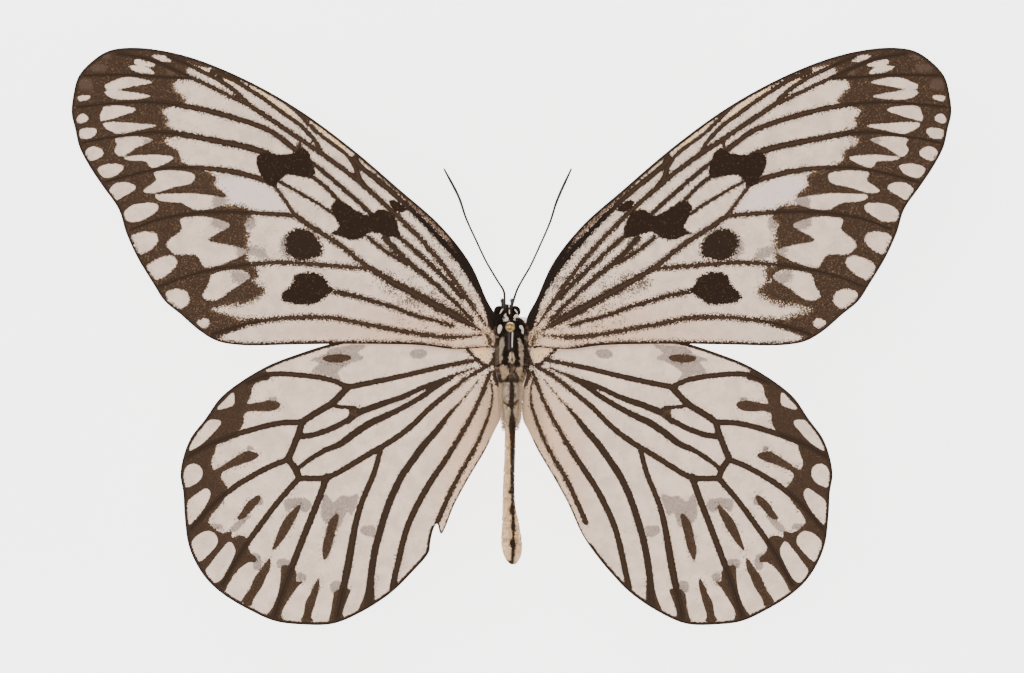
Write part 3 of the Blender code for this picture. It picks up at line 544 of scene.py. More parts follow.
        "basalSpot": [(15.4, -2.5), (14.3, -1.9), (12.8, -2.1), (12.6, -2.5), (13.4, -3.3), (15.1, -3.1)],
        "bar3": [(28, -23.6), (26.8, -24.8), (25.6, -23.9), (24.4, -24), (23, -23.7), (24.1, -27),
            (24.7, -26.4), (26, -28.8), (27.7, -28.2), (28.6, -27.1)],
        "bar2": [(34.1, -24.6), (32.9, -24.3), (30.8, -24.4), (29.9, -25.3), (30.8, -26.4), (31.9, -26.1),
            (32.9, -25.8), (33.8, -26.4)],
        "fold": [(22.6, -28.6), (20.5, -28.6), (20.6, -30.1), (21.8, -30), (22.7, -29.4)],
        "ring": [(32.3, -36.1), (32, -35.5), (31.6, -35.4), (31, -35.7), (30.8, -36.1), (31, -36.6),
            (31.6, -36.9), (32, -36.8)],
        "dotA": [(35.2, -33.6), (33.2, -33.6), (33.2, -34.6), (35.2, -34.6)],
        "dotB": [(27.1, -36.9), (25.7, -36.9), (25.7, -38.4), (27.1, -38.4)],
        "dotC": [(38.8, -32.5), (37.7, -33), (37.7, -34.8), (38.6, -35.1)],
        "dotD": [(45.2, -28.2), (43.4, -28.3), (43.4, -28.9), (45.1, -28.9)],
        "dotE": [(39.8, -16.5), (38.8, -16.5), (38.8, -17.1), (39.7, -17.1)],
        "dotF": [(38.3, -24.1), (37.4, -24.3), (37.4, -25.3), (38.2, -25.2)],
        "dotG": [(36.5, -9.2), (35.2, -9.2), (35.2, -9.6), (36.4, -9.6)],
        "linkB1": [(39.8, -26.7), (39.2, -26.7), (41.6, -29.4), (42.4, -29.1)],
    },
    "pale": {},
    "lilac": {},
    "tan": {
        "humeral": [(5.8, -1.9), (3.85, -1.7), (3.15, -2.1), (3, -2.7), (3.2, -3.2), (3.6, -3.8),
            (4.3, -3.8), (5.1, -3.0)],
    },
}


wingMake = {
    "rootHeight": 28.4,          # the solids' own height rule
    "rise": 0.01,
    "bend": 0.00025,
    "stepDown": 1.25,
    "droop": 0.0005,
    "meshStep": 0.3,
    "lineStep": 0.3,
    "closest": 0.13,
    "thickness": 0.16,
    "rimTaper": 0.35,
    "ridgeTop": 0.13,
    "ridgeUnder": 0.09,
    "sag": 0.16,
    "ripple": 0.1,
    "margin": 0.36,
    "innerMargin": 0.1,
    "innerEdge": (11.8, -9.0, -33.0),    # where the hindwing lies beside the abdomen: out, front, rear
    "beside": 9.0,                       # how far out a wing still lies beside the body
    "mapSpan": 72.0,                     # half the millimetres that the bake's map takes in
    "mapRear": 46.0,
    "mapGap": 0.005,
    "mapLower": 0.49,                    # the lower face stands so far beside the upper one
}


def foreHeight(u, f):
    return wingMake["rootHeight"] + wingMake["rise"] * u + wingMake["bend"] * u * u


def hindHeight(u, f):
    return foreHeight(u, f) - wingMake["stepDown"] - wingMake["droop"] * f * f


def wingPlan(rim, lines):
    # a fine triangle net of the wing with its veins as edges
    make = wingMake
    cell = make["closest"]
    taken = {}
    points = []
    edges = []

    def place(point, gap):
        # keeps a point unless another is already nearer than the gap, and gives its number
        column, row = int(point[0] // cell), int(point[1] // cell)
        span = int(gap / cell) + 1
        best = None
        for i in range(column - span, column + span + 1):
            for j in range(row - span, row + span + 1):
                for number in taken.get((i, j), ()):
                    distance = math.hypot(points[number][0] - point[0], points[number][1] - point[1])
                    if distance < gap and (best is None or distance < best[0]):
                        best = (distance, number)
        if best:
            return best[1], False
        points.append((float(point[0]), float(point[1])))
        taken.setdefault((column, row), []).append(len(points) - 1)
        return len(points) - 1, True

    for point in rim:
        points.append((float(point[0]), float(point[1])))
        taken.setdefault((int(point[0] // cell), int(point[1] // cell)), []).append(len(points) - 1)
    rimCount = len(points)
    closed = np.vstack([rim, rim[:1]])
    for line, _ in lines:
        inside = insideLoop(line, rim) & (lineDistance(line, closed, 1.0) > cell)
        last = None
        for point, keeps in zip(line, inside):
            number = place(point, cell)[0] if keeps else None
            if last is not None and number is not None and number != last:
                edges.append((last, number))
            last = number
    for line, widths in lines:
        half = alongLine(widths, len(line)) / 2
        ways = headings(line)
        aside = np.stack([-ways[:, 1], ways[:, 0]], axis=1)
        for side in (-1.0, 1.0):
            edge = line + aside * half[:, None] * side
            inside = insideLoop(edge, rim) & (lineDistance(edge, closed, 1.0) > cell)
            for point in edge[inside]:
                place(point, cell)
    # then rows of even triangles over the rest
    step = make["meshStep"]
    gap = step * 0.55
    low, high = rim.min(axis=0), rim.max(axis=0)
    rows = np.arange(low[1], high[1], step * 0.866)
    net = []
    for number, row in enumerate(rows):
        columns = np.arange(low[0] + (number % 2) * step / 2, high[0], step)
        net.append(np.stack([columns, np.full(len(columns), row)], axis=1))
    net = np.vstack(net)
    net = net[insideLoop(net, rim)]
    net = net[lineDistance(net, closed, 1.0) > gap]
    for point in net:
        place(point, gap)
    flat, _, triangles, _, _, _ = delaunay_2d_cdt([Vector(point) for point in points], edges,
                                                  [list(range(rimCount))], 1, 1e-6)
    return np.array([(point.x, point.y) for point in flat]), np.array([list(t) for t in triangles])


def marginOf(drawn, spots):
    # the dark line round the wing, finer where it lies beside the body
    u, f = spots[:, 0], spots[:, 1]
    if drawn is hindWing:
        out, front, rear = wingMake["innerEdge"]
        inner = (u < out) & (f < front) & (f > rear)
        inner |= (u < wingMake["beside"]) & (f > -3.0)
    else:
        inner = (u < wingMake["beside"]) & (f < 0.5)
    return np.where(inner, wingMake["innerMargin"], wingMake["margin"])


def hindValues(values, spots):
    u, f = spots[:, 0], spots[:, 1]
    values["warm"] = fade(-u, -15.0, -6.0) * fade(-f, 2.0, 14.0) * 0.85
    values["peach"] = fade(-u, -6.5, -3.5) * fade(-f, 5.5, 8.0) * fade(f, -22.0, -12.0)
    values["crisp"] = np.maximum(0.9 * fade(u, 6.0, 12.0), 0.5 * fade(-u, -5.5, -4.0))
    values["dust"] = 0.3 * fade(-np.hypot(u - 2.6, f + 6.0), -2.2, -1.2)
    values["deep"] = values["costal"] = np.zeros(len(spots))


def foreValues(values, spots, drawn):
    u, f = spots[:, 0], spots[:, 1]
    toRim = values["rim"]
    values["warm"] = 0.75 * fade(-f, -9.0, 1.0) * fade(-u, -44.0, -12.0)
    values["peach"] = 0.5 * fade(-np.hypot(u - 2.9, f - 0.1), -2.4, -1.0)
    # the front edge darkens towards the body
    front = shapeDistance(spots, drawn["frontRoot"], 3.0)
    values["deep"] = fade(f - 1.15 * u, -0.8, 0.5) * fade(-u, -24.0, -9.0)
    values["deep"] = np.maximum(values["deep"], fade(-front, -0.15, 0.1))
    values["costal"] = fade(-u, -27.0, -17.0)
    values["vein"] = np.minimum(values["vein"], front)
    values["crisp"] = 0.8 * fade(-toRim, -4.5, -2.0) * fade(u, 12.0, 20.0) * fade(f, 12.0, 20.0)
    values["crisp"] = np.maximum(values["crisp"], 0.5 * fade(-u, -5.5, -4.0))
    # stray dark scales under the cell, along the rear edge, over the base and round the hinge
    under = shapeDistance(spots, drawn["dustUnder"], 3.0)
    hem = fade(-toRim, -1.1, -0.35) * fade(-f, -2.5, -0.5) * fade(u, 6.0, 10.0) * fade(-u, -30.0, -24.0)
    base = 0.3 * fade(-np.hypot(u - 3.0, f - 3.0), -16.0, -8.0) * fade(f, 0.5, 1.5)
    hinge = 0.34 * fade(-np.hypot(u - 2.9, f - 0.1), -1.9, -1.0)
    values["dust"] = np.maximum.reduce([0.62 * fade(-under, -0.9, 1.1), hem * 0.5, base, hinge])


def wingValues(spots, rim, drawn, lines):
    # distances and shares that the wing's paint reads, one for each place of the net
    veins = np.full(len(spots), 3.0)
    axis = np.full(len(spots), 3.0)
    for number, (line, widths) in enumerate(lines):
        veins = np.minimum(veins, lineDistance(spots, line, 3.0, widths))
        if number < len(drawn["veins"]):
            axis = np.minimum(axis, lineDistance(spots, line, 3.0))
    toRim = lineDistance(spots, np.vstack([rim, rim[:1]]), 3.0)
    values = {"axis": axis, "rim": toRim}
    # no dark line where the wing meets the body
    away = 3.0 * fade(-spots[:, 0], -3.3, -2.6) * fade(-spots[:, 1], -1.8, -0.8)
    values["hem"] = toRim + away
    values["vein"] = np.minimum(veins, values["hem"] - marginOf(drawn, spots))
    values["dark"] = nearestShape(spots, drawn["darkZone"].values())
    values["window"] = nearestShape(spots, drawn["windows"].values())
    # the forewing's spots are blacker than its border, and one has a soft edge
    blots = nearestShape(spots, drawn["spots"].values())
    if drawn is foreWing:
        values["spot"] = blots
        values["soft"] = fade(-shapeDistance(spots, drawn["spots"][drawn["softSpot"]]), -1.0, -0.4)
    else:
        values["spot"] = np.full(len(spots), 2.0)
        values["soft"] = np.zeros(len(spots))
        values["dark"] = np.minimum(values["dark"], blots)
    for name in ("grey", "pale", "lilac", "tan"):
        values[name] = nearestShape(spots, drawn[name].values())
    if drawn is hindWing:
        hindValues(values, spots)
    else:
        foreValues(values, spots, drawn)
    return values


def makeWing(name, side, rim, drawn, height, material, narrowing=None):
    make = wingMake
    lines = [(flowLine(points, make["lineStep"]), widths)
             for group in ("veins", "bars") for widths, points in drawn[group].values()]
    plan, triangles = wingPlan(rim, lines)
    u, f = plan[:, 0], plan[:, 1]
    values = wingValues(plan, rim, drawn, lines)
    ridge = np.exp(-(values["axis"] / 0.28) ** 2)
    between = fade(values["axis"], 0.3, 2.4)
    ripple = np.sin(u * 0.55 + f * 0.21) * np.cos(f * 0.43 - u * 0.13)
    middle = height(u, f) - make["sag"] * between + make["ripple"] * ripple * fade(values["axis"], 0.0, 2.0)
    taper = fade(values["rim"], 0.0, make["rimTaper"])
    half = make["thickness"] / 2 * taper
    x = narrowing(u) if narrowing else u
    top = np.stack([side * x, f, middle + half + make["ridgeTop"] * ridge * taper], axis=1)
    under = np.stack([side * x, f, middle - half - make["ridgeUnder"] * ridge * taper], axis=1)
    onRim = values["rim"] < 1e-4
    number = np.arange(len(plan))
    below = np.where(onRim, number, 0)
    below[~onRim] = len(plan) + np.arange((~onRim).sum())
    points = np.vstack([top, under[~onRim]])
    upper = triangles if side > 0 else triangles[:, ::-1]
    lower = below[triangles[:, ::-1]] if side > 0 else below[triangles]
    wing = addMesh(name, points, np.vstack([upper, lower]).tolist(), material)
    for key, value in values.items():
        keepValue(wing, key, np.concatenate([value, value[~onRim]]))
    # the bake's map: the upper face beside the lower one
    flat = np.vstack([plan, plan[~onRim]])
    corners = np.concatenate([upper.ravel(), lower.ravel()])
    spread = (flat[corners] + (0.0, make["mapRear"])) / (2 * make["mapSpan"]) + make["mapGap"]
    spread[len(upper) * 3:, 0] += make["mapLower"]
    layer = wing.data.uv_layers.new(name="OFBake")
    layer.data.foreach_set("uv", spread.astype(np.float32).ravel())
    print("wing", name, len(wing.data.polygons), "faces")
    return wing


wingLook = {
    "ground": (212, 203, 194),
    "groundDeep": (206, 196, 186),
    "warm": (207, 190, 171),
    "peach": (186, 168, 142),
    "lilac": (212, 204, 201),
    "tan": (217, 204, 179),
    "tanDeep": (158, 130, 102),
    "grey": (168, 155, 146),
    "dark": (92, 66, 48),
    "darkDeep": (70, 47, 31),
    "speck": (146, 120, 88),
    "vein": (76, 53, 37),
    "veinDeep": (60, 40, 27),
    "veinLine": (42, 27, 17),
    # painted highlight: the paler middle of a raised vein
    "veinHighlight": (112, 80, 55),
    "spot": (46, 27, 15),
    "spotSoft": (54, 35, 22),
    "pale": (122, 98, 82),
    "edgeDark": (34, 21, 14),
    "scalesPerMm": 7.5,
}
# what differs between the wings: a painted highlight along each vein's middle, stray scales, how dark marks
# spread and fray, and a painted lift of light on the ground colours
# each kind's brightness lift is painted light: the hindwing's ground is made lighter to stand in for lamp
# light it does not get
wingKinds = {
    "forewing scales": {"veinHighlightShare": 0.25, "stray": 0.42, "spread": 0.09, "paintedLightLift": 1.03, "fray": 0.68,
                        "gold": 1.0},
    "hindwing scales": {"veinHighlightShare": 0.15, "stray": 0.16, "spread": 0.13, "paintedLightLift": 1.1, "fray": 0.42,
                        "gold": 0.3},
}


def wingMaterial(name):
    look = wingLook
    kind = wingKinds[name]
    spread = kind["spread"]

    def plain(key):
        return tone(*look[key])

    # painted light: a ground colour made lighter by the kind's lift, most on the lower hindwing
    def paintedLit(key):
        return tuple(channel * kind["paintedLightLift"] for channel in plain(key)[:3]) + (1.0,)

    def blotch(key, byScale, byPlace, edge):
        # a drawn patch whose edge strays from scale to scale and from place to place
        return paint.below(paint.read(key) + chance * byScale + wander * byPlace, -edge, edge)

    paint = Paint(name)
    place = paint.place()
    # every scale is a cell with chances of its own, so that each edge breaks up scale by scale
    first, second, third = paint.chances(place, look["scalesPerMm"])
    ragged = 1.0 - paint.read("crisp") * 0.7
    chance = (first - 0.5) * ragged
    wander = (paint.noise(place, 2.6, 3.0, 0.6) - 0.5) * ragged
    patch = paint.noise(place, 0.45, 3.0, 0.6)
    grain = paint.noise(place, 9.0, 2.0, 0.6)
    veinEdge = paint.read("vein") - spread
    axis = paint.read("axis")
    vein = paint.below(veinEdge + chance * 0.42 + wander * 0.3, -0.03, 0.03)
    fuzz = 0.5 + paint.above(patch, 0.42, 0.62) * 1.1
    darkEdge = paint.read("dark") - spread * 0.4
    window = paint.above(paint.read("window") + chance * 0.26 + wander * 0.34, -0.04, 0.04)
    dark = paint.below(darkEdge + (chance * fuzz + wander * 0.6) * kind["fray"], -0.04, 0.04) * window
    soft = paint.read("soft")
    spot = paint.below(paint.read("spot") + chance * (0.4 + soft * 0.4) + wander * 0.8, -0.04, 0.04)
    deep = paint.read("deep")
    grey = blotch("grey", 0.6, 1.2, 0.1)
    tan = blotch("tan", 0.4, 1.0, 0.1)
    lilac = blotch("lilac", 0.0, 2.0, 0.9)
    pale = blotch("pale", 0.6, 1.5, 0.3)
    colour = paint.mix(paint.above(patch, 0.35, 0.65), paintedLit("ground"), paintedLit("groundDeep"))
    colour = paint.mix(paint.read("warm"), colour, paintedLit("warm"))
    colour = paint.mix(paint.read("peach") * 0.7, colour, paintedLit("peach"))
    colour = paint.mix(lilac * 0.8, colour, paintedLit("lilac"))
    costal = paint.read("costal")
    colour = paint.mix(tan * 0.9, colour, paint.mix(costal, plain("tan"), plain("tanDeep")))
    colour = paint.mix(grey * (0.65 + second * 0.35), colour, plain("grey"))
    # stray dark scales beside the veins, in the tan strip, and dusted over the wing base
    near = paint.larger(paint.below(veinEdge, 0.0, 0.55) * kind["stray"],
                        paint.below(darkEdge, 0.0, 0.9) * window * 0.4)
    near = near * ragged
    flecks = tan * (0.04 + costal * 0.4)
    near = paint.larger(paint.larger(near, flecks), paint.read("dust") * (0.4 + paint.above(patch, 0.4, 0.6)))
    stray = paint.above(near - second, -0.04, 0.04)
    colour = paint.mix(stray * 0.85, colour, plain("vein"))
    # and a few golden ones in the dark zone's own edge
    rimming = paint.below(darkEdge, 0.1, 0.9) * paint.above(darkEdge, -0.9, -0.1) * window
    mottle = paint.above(grain + chance * 0.3, 0.35, 0.65)
    brown = paint.mix(mottle, plain("darkDeep"), plain("dark"))
    golden = paint.above(third + rimming * 0.3, 0.86, 0.96) * (0.35 + paint.above(patch, 0.3, 0.6) * 0.5)
    brown = paint.mix(golden * kind["gold"], brown, plain("speck"))
    brown = paint.mix(pale * 0.55, brown, plain("pale"))
    veinTone = paint.mix(mottle, plain("veinDeep"), plain("vein"))
    # a painted highlight down the middle of each vein, where its raised ridge would catch the light
    veinTone = paint.mix(paint.below(axis, 0.03, 0.24) * kind["veinHighlightShare"], veinTone, plain("veinHighlight"))
    veinTone = paint.mix(paint.above(deep, 0.35, 0.85), veinTone, plain("edgeDark"))
    colour = paint.mix(dark, colour, brown)
    colour = paint.mix(vein, colour, veinTone)
    colour = paint.mix(paint.below(axis, 0.04, 0.18) * dark * 0.75, colour, plain("veinLine"))
    hem = paint.below(paint.read("hem") + chance * 0.2, 0.1, 0.3) * 0.75
    colour = paint.mix(hem, colour, plain("veinLine"))
    blot = paint.mix(paint.above(grain, 0.5, 0.7) * 0.4, plain("spot"), plain("darkDeep"))
    blot = paint.mix(soft * 0.8, blot, plain("spotSoft"))
    blot = paint.mix(paint.above(third, 0.95, 0.99) * 0.35, blot, plain("speck"))
    colour = paint.mix(spot, colour, blot)
    colour = paint.shaded(colour, 0.93 + first * 0.08 + grain * 0.06)
    pattern = paint.larger(paint.larger(dark, vein), spot)
    relief = paint.bump(grain * 0.6 + second * 0.4 + pattern * 0.3, 0.03, 0.5)
    return paint.finish({"Base Color": colour, "Roughness": 0.74 - pattern * 0.08 + first * 0.06,
                         "Normal": relief, "Specular IOR Level": 0.08})


def makeWings():
    foreCoat = wingMaterial("forewing scales")
    hindCoat = wingMaterial("hindwing scales")
    foreRim = flowLine(foreWing["outline"], wingMake["lineStep"], closed=True)
    front, tear, inner = hindWing["front"], hindWing["tear"], hindWing["inner"]
    tornRim = flowLine(front + tear + inner, wingMake["lineStep"], closed=True)
    wholeRim = flowLine(front + inner, wingMake["lineStep"], closed=True)

    def narrowed(u):
        edge = hindWing["narrowFrom"]
        return np.where(u > edge, edge + (u - edge) * hindWing["rightWidth"], u)

    for sideName, side in (("left", -1), ("right", 1)):
        fore = makeWing("Forewing" + sideName.title(), side, foreRim, foreWing, foreHeight, foreCoat)
        settle(fore, "forewing", "forewing_" + sideName)
        hind = makeWing("Hindwing" + sideName.title(), side, tornRim if side < 0 else wholeRim, hindWing,
                        hindHeight, hindCoat, None if side < 0 else narrowed)
        settle(hind, "hindwing", "hindwing_" + sideName)


# The body: stations run from the brow to the tail as (y, middle x, half width, top z, bottom z)
body = {
    "stations": [(4.72, -0.65, 0.25, 27.75, 26.85), (4.6, -0.65, 0.6, 28.2, 26.45),
        (4.3, -0.65, 0.88, 28.55, 26.1), (3.8, -0.65, 1.02, 28.76, 25.94),
        (3.3, -0.62, 1.02, 28.74, 26.02), (2.95, -0.5, 0.98, 28.6, 26.2), (2.7, -0.38, 1.02, 28.65, 26.1),
        (2.4, -0.22, 1.18, 29.05, 25.8), (2.0, -0.1, 1.48, 29.6, 25.2), (1.2, 0.0, 1.86, 30.05, 24.65),
        (0.0, 0.0, 1.92, 30.42, 24.2), (-2.0, 0.0, 1.9, 30.42, 24.1), (-3.8, 0.0, 1.86, 30.05, 24.3),
        (-5.4, -0.02, 1.7, 29.4, 24.9), (-6.4, -0.06, 1.36, 28.8, 25.45), (-6.85, -0.1, 1.12, 28.5, 25.7),
        (-7.3, -0.1, 1.22, 28.65, 25.55), (-8.0, -0.1, 1.3, 28.8, 25.4), (-9.3, -0.1, 1.26, 28.9, 25.3),
        (-12.0, -0.1, 1.04, 28.7, 25.3), (-13.5, -0.17, 0.8, 28.62, 25.28),
        (-17.5, -0.25, 0.74, 28.52, 25.13), (-22.0, -0.4, 0.8, 28.37, 25.03),
        (-25.5, -0.38, 0.9, 28.27, 24.93), (-28.5, -0.12, 1.25, 28.17, 24.74),
        (-31.3, 0.04, 1.48, 28.07, 24.64), (-33.0, 0.15, 1.18, 27.87, 24.84),
        (-33.9, 0.19, 0.64, 27.4, 25.3), (-34.2, 0.2, 0.22, 26.8, 25.9)],
    "step": 0.1,
    "sides": 168,
    "roundness": 2.3,
    "joints": (-9.6, -12.8, -16.6, -20.4, -24.2, -27.6, -30.4),
    "jointDepth": 0.11,
    "furrow": 0.09,
    "furrowsAside": 0.95,
    "suture": 0.12,
    "sutures": ((-2.15, 0.16), (-4.5, 0.2)),    # where each crosses the back, and how wide it is
    "scutellum": 0.2,
    "sideSpots": ((1.4, 26.6, 0.5), (-0.4, 27.6, 0.55), (-0.9, 25.6, 0.6), (-2.6, 26.6, 0.55),
                  (-4.2, 27.2, 0.5), (-4.6, 25.7, 0.45)),    # pale spots on the flanks as (y, z, size)
}
bodyTones = {
    "black": (38, 28, 22),
    "brown": (96, 70, 50),
    "line": (60, 41, 28),
    "abdomen": (210, 196, 173),
    "lobe": (184, 173, 159),
    "white": (216, 211, 203),
    "stripe": (192, 181, 165),
    "beige": (196, 181, 160),
    "cream": (200, 188, 170),
    "plum": (88, 76, 76),
    "belly": (208, 194, 172),
    "hair": (66, 47, 34),
    "pale hair": (214, 204, 190),
    "side hair": (201, 188, 169),
}
# what lies on the back: a tone, and its outline as (x, y) from above
bodyMarks = [
    ("white", [(-1.5, 2.5), (-1.1, 2.95), (-0.98, 3.4), (-0.84, 3.4), (-0.76, 2.95), (-0.42, 2.5),
        (-0.9, 2.3)]),
    ("white", [(0.26, 2.5), (0.34, 2.95), (0.5, 3.35), (0.8, 3.2), (1.05, 3.1), (1.1, 2.6), (0.7, 2.4)]),
    ("stripe", [(-0.98, -0.05), (-1.35, -0.1), (-1.9, -1.1), (-2.3, -2.25), (-2.2, -3.5), (-1.75, -4.05),
        (-1.5, -3.95), (-1.34, -3.2), (-1.2, -2.25), (-0.95, -0.8)]),
    ("stripe", [(0.93, -0.1), (1.14, -0.1), (1.5, -1.0), (2.1, -1.6), (2.1, -2.7), (1.75, -4.05),
        (1.25, -4.05), (1.06, -2.7), (0.93, -1.3)]),
    ("cream", [(-0.32, -2.6), (-0.2, -2.38), (0.14, -2.35), (0.42, -2.9), (0.46, -3.6), (0.16, -4.05),
        (-0.26, -3.8), (-0.36, -3.1)]),
    ("brown", [(0.02, -3.0), (0.2, -3.0), (0.22, -3.7), (0.08, -3.75)]),
    ("beige", [(-1.69, -4.3), (-0.8, -4.3), (-0.45, -4.93), (-0.42, -5.6), (-0.8, -6.05), (-1.3, -6.5),
        (-1.88, -6.0), (-1.95, -5.1)]),
    ("beige", [(0.9, -4.45), (1.66, -4.3), (2.0, -5.3), (2.2, -6.84), (1.57, -6.94), (1.18, -6.1),
        (0.75, -5.3)]),
    ("lobe", [(-1.85, -7.3), (-1.3, -6.95), (-0.36, -6.95), (-0.4, -9.2), (-0.98, -9.6), (-1.5, -9.0),
        (-1.8, -8.1)]),
    ("lobe", [(0.24, -6.95), (0.9, -6.95), (1.4, -7.5), (1.2, -9.0), (0.6, -9.5), (0.3, -9.3)]),
]
# fine lines where the skin lies bare between the hairs, each with its width
bareMarks = [
    ("white", 0.11, [(-0.37, 4.75), (-0.3, 3.45)]),
    ("plum", 0.26, [(-0.37, 0.75), (-0.36, -1.85)]),
    ("white", 0.1, [(0.16, 0.7), (0.09, -1.6)]),
]
# the dark line down the abdomen and the mark like a V in front of it, each point as (x, y, width)
backLines = [
    [(0.05, -6.9, 0.5), (0.05, -7.8, 0.72), (0.05, -9.0, 0.86), (0.0, -9.6, 0.75), (0.0, -10.2, 0.95),
     (0.03, -11.1, 0.42), (0.1, -12.4, 0.95), (0.12, -14.2, 0.95), (0.15, -15.6, 0.76), (0.1, -18.6, 0.62),
     (0.1, -21.6, 0.6), (0.05, -22.8, 0.72), (0.0, -23.2, 1.0), (0.1, -23.6, 0.5), (0.15, -24.6, 0.46),
     (0.12, -25.6, 0.7), (0.1, -26.1, 0.9), (0.2, -26.9, 0.5), (0.25, -28.6, 0.78), (0.25, -29.2, 0.5),
     (0.25, -29.9, 0.3), (0.2, -30.4, 0.55), (0.15, -31.0, 0.95), (0.25, -31.6, 0.7), (0.25, -33.0, 0.55),
     (0.1, -33.8, 0.4)],
    [(-1.7, -9.15, 0.18), (-1.1, -9.9, 0.25), (-0.05, -10.3, 0.55), (0.6, -9.9, 0.25), (1.0, -9.45, 0.18)],
]


def bodyRings():
    stations = flowLine(body["stations"], body["step"])
    angles = np.linspace(0.0, 2.0 * math.pi, body["sides"], endpoint=False)
    power = 2.0 / body["roundness"]
    wide = np.sign(np.cos(angles)) * np.abs(np.cos(angles)) ** power
    high = np.sign(np.sin(angles)) * np.abs(np.sin(angles)) ** power
    rings = []
    for y, middle, half, top, bottom in stations:
        centre = (top + bottom) / 2
        tall = (top - bottom) / 2
        grow = np.zeros(len(angles))
        for joint in body["joints"]:
            # each plate of the abdomen ends in a small step over the next
            behind = y - joint
            if -0.55 < behind < 0:
                grow -= body["jointDepth"] * fade(-behind, 0.0, 0.08) * fade(behind, -0.55, -0.05)
            elif 0 <= behind < 0.9:
                grow += body["jointDepth"] * 0.35 * fade(-behind, -0.9, 0.0)
        upper = np.clip(high, 0.0, 1.0) ** 2
        x = wide * half
        if -6.5 < y < 2.4:
            back = fade(y, -2.3, -1.6) * fade(-y, -2.0, -1.2)
            grow -= body["furrow"] * upper * back * np.exp(-(x / 0.22) ** 2)
            aside = np.abs(x) - body["furrowsAside"]
            grow -= body["furrow"] * 0.8 * upper * back * np.exp(-(aside / 0.2) ** 2)
            for crossing, width in body["sutures"]:
                grow -= body["suture"] * upper * math.exp(-((y - crossing) / width) ** 2)
            grow += body["scutellum"] * upper * math.exp(-((y + 3.3) / 0.75) ** 2) * np.exp(-(x / 0.7) ** 2)
            grow -= 0.1 * np.exp(-((high + 0.15) / 0.14) ** 2) * fade(y, -5.5, -4.0) * fade(-y, -1.8, -0.8)
        rings.append(np.stack([middle + x + grow * np.cos(angles), np.full(len(angles), y),
                               centre + high * tall + grow * np.sin(angles)], axis=1))
    return np.array(rings), stations


def bodyColour(name):
    return np.array(tone(*bodyTones[name])[:3])


def bodyTone(points, ups):
    # the colour of each place on the skin, and that of the hairs there, which the bare lines leave out
    x, y, z = points.T
    plan = points[:, :2]
    colour = np.tile(bodyColour("black"), (len(points), 1))

    def lay(name, share):
        colour[:] = colour + (bodyColour(name) - colour) * share[:, None]

    seen = fade(ups, 0.05, 0.45)
    rough = 0.5 * np.sin(x * 23.0 + y * 31.0) + 0.5 * np.sin(y * 47.0 - x * 19.0 + z * 13.0)
    fine = np.sin(x * 61.0 + z * 17.0) * np.sin(y * 53.0 + x * 29.0)
    jitter = rough * np.where(y < -6.8, 0.13, 0.04) + fine * np.where(y < -6.8, 0.12, 0.03)
    rear = fade(-y, 6.7, 7.1)
    lay("abdomen", rear)
    lay("belly", rear * fade(-ups, 0.2, 0.7))
    lay("lobe", rear * fade(y, -14.5, -12.0) * 0.75)
    lay("brown", fade(-y, 3.6, 6.2) * (1.0 - rear) * 0.3)
    patchy = fade(rough + fine, 0.25, 0.6) * (0.6 - 0.35 * fade(-y, 5.6, 6.1))
    lay("beige", fade(-y, 4.0, 4.6) * (1.0 - rear) * patchy)
    for joint in body["joints"]:
        lay("brown", rear * 0.35 * np.exp(-((y - joint + 0.1) / 0.13) ** 2))
    # pale spots along the side of the thorax and a dark line along the side of the abdomen
    for sideY, sideZ, size in body["sideSpots"]:
        away = np.hypot(y - sideY, z - sideZ) / size
        lay("white", fade(-away, -1.0, -0.75) * (1.0 - seen) * (1.0 - rear))
    lay("brown", rear * 0.75 * np.exp(-((ups - 0.1) / 0.16) ** 2) * fade(-y, 9.0, 12.0))
    for name, shape in bodyMarks:
        shown = fade(ups, -0.5, -0.2) if name == "lobe" else seen
        lay(name, fade(-(shapeDistance(plan, shape, 1.0, 0.08) + jitter), -0.06, 0.06) * shown)
    # dark specks over the lobes and beside the line down the abdomen
    speckled = fade(rough * fine, 0.16, 0.3) * rear
    lay("brown", speckled * seen * (0.3 + 0.4 * np.exp(-((x - 0.1) / 0.7) ** 2) * fade(y, -24.0, -8.0)))
    for drawn in backLines:
        line = flowLine(drawn, 0.15)
        lay("line", fade(-(lineDistance(plan, line[:, :2], 1.0, line[:, 2]) + jitter), -0.08, 0.06) * seen)
    lay("line", fade(-y, 33.3, 33.8) * fade(-x, -0.4, -0.15))
    hairs = colour.copy()
    for name, width, ends in bareMarks:
        lay(name, fade(-lineDistance(plan, np.array(ends), 1.0, (width,)), -0.05, 0.04) * seen)
    return colour, hairs


def opaque(colours):
    return np.hstack([colours, np.ones((len(colours), 1))])


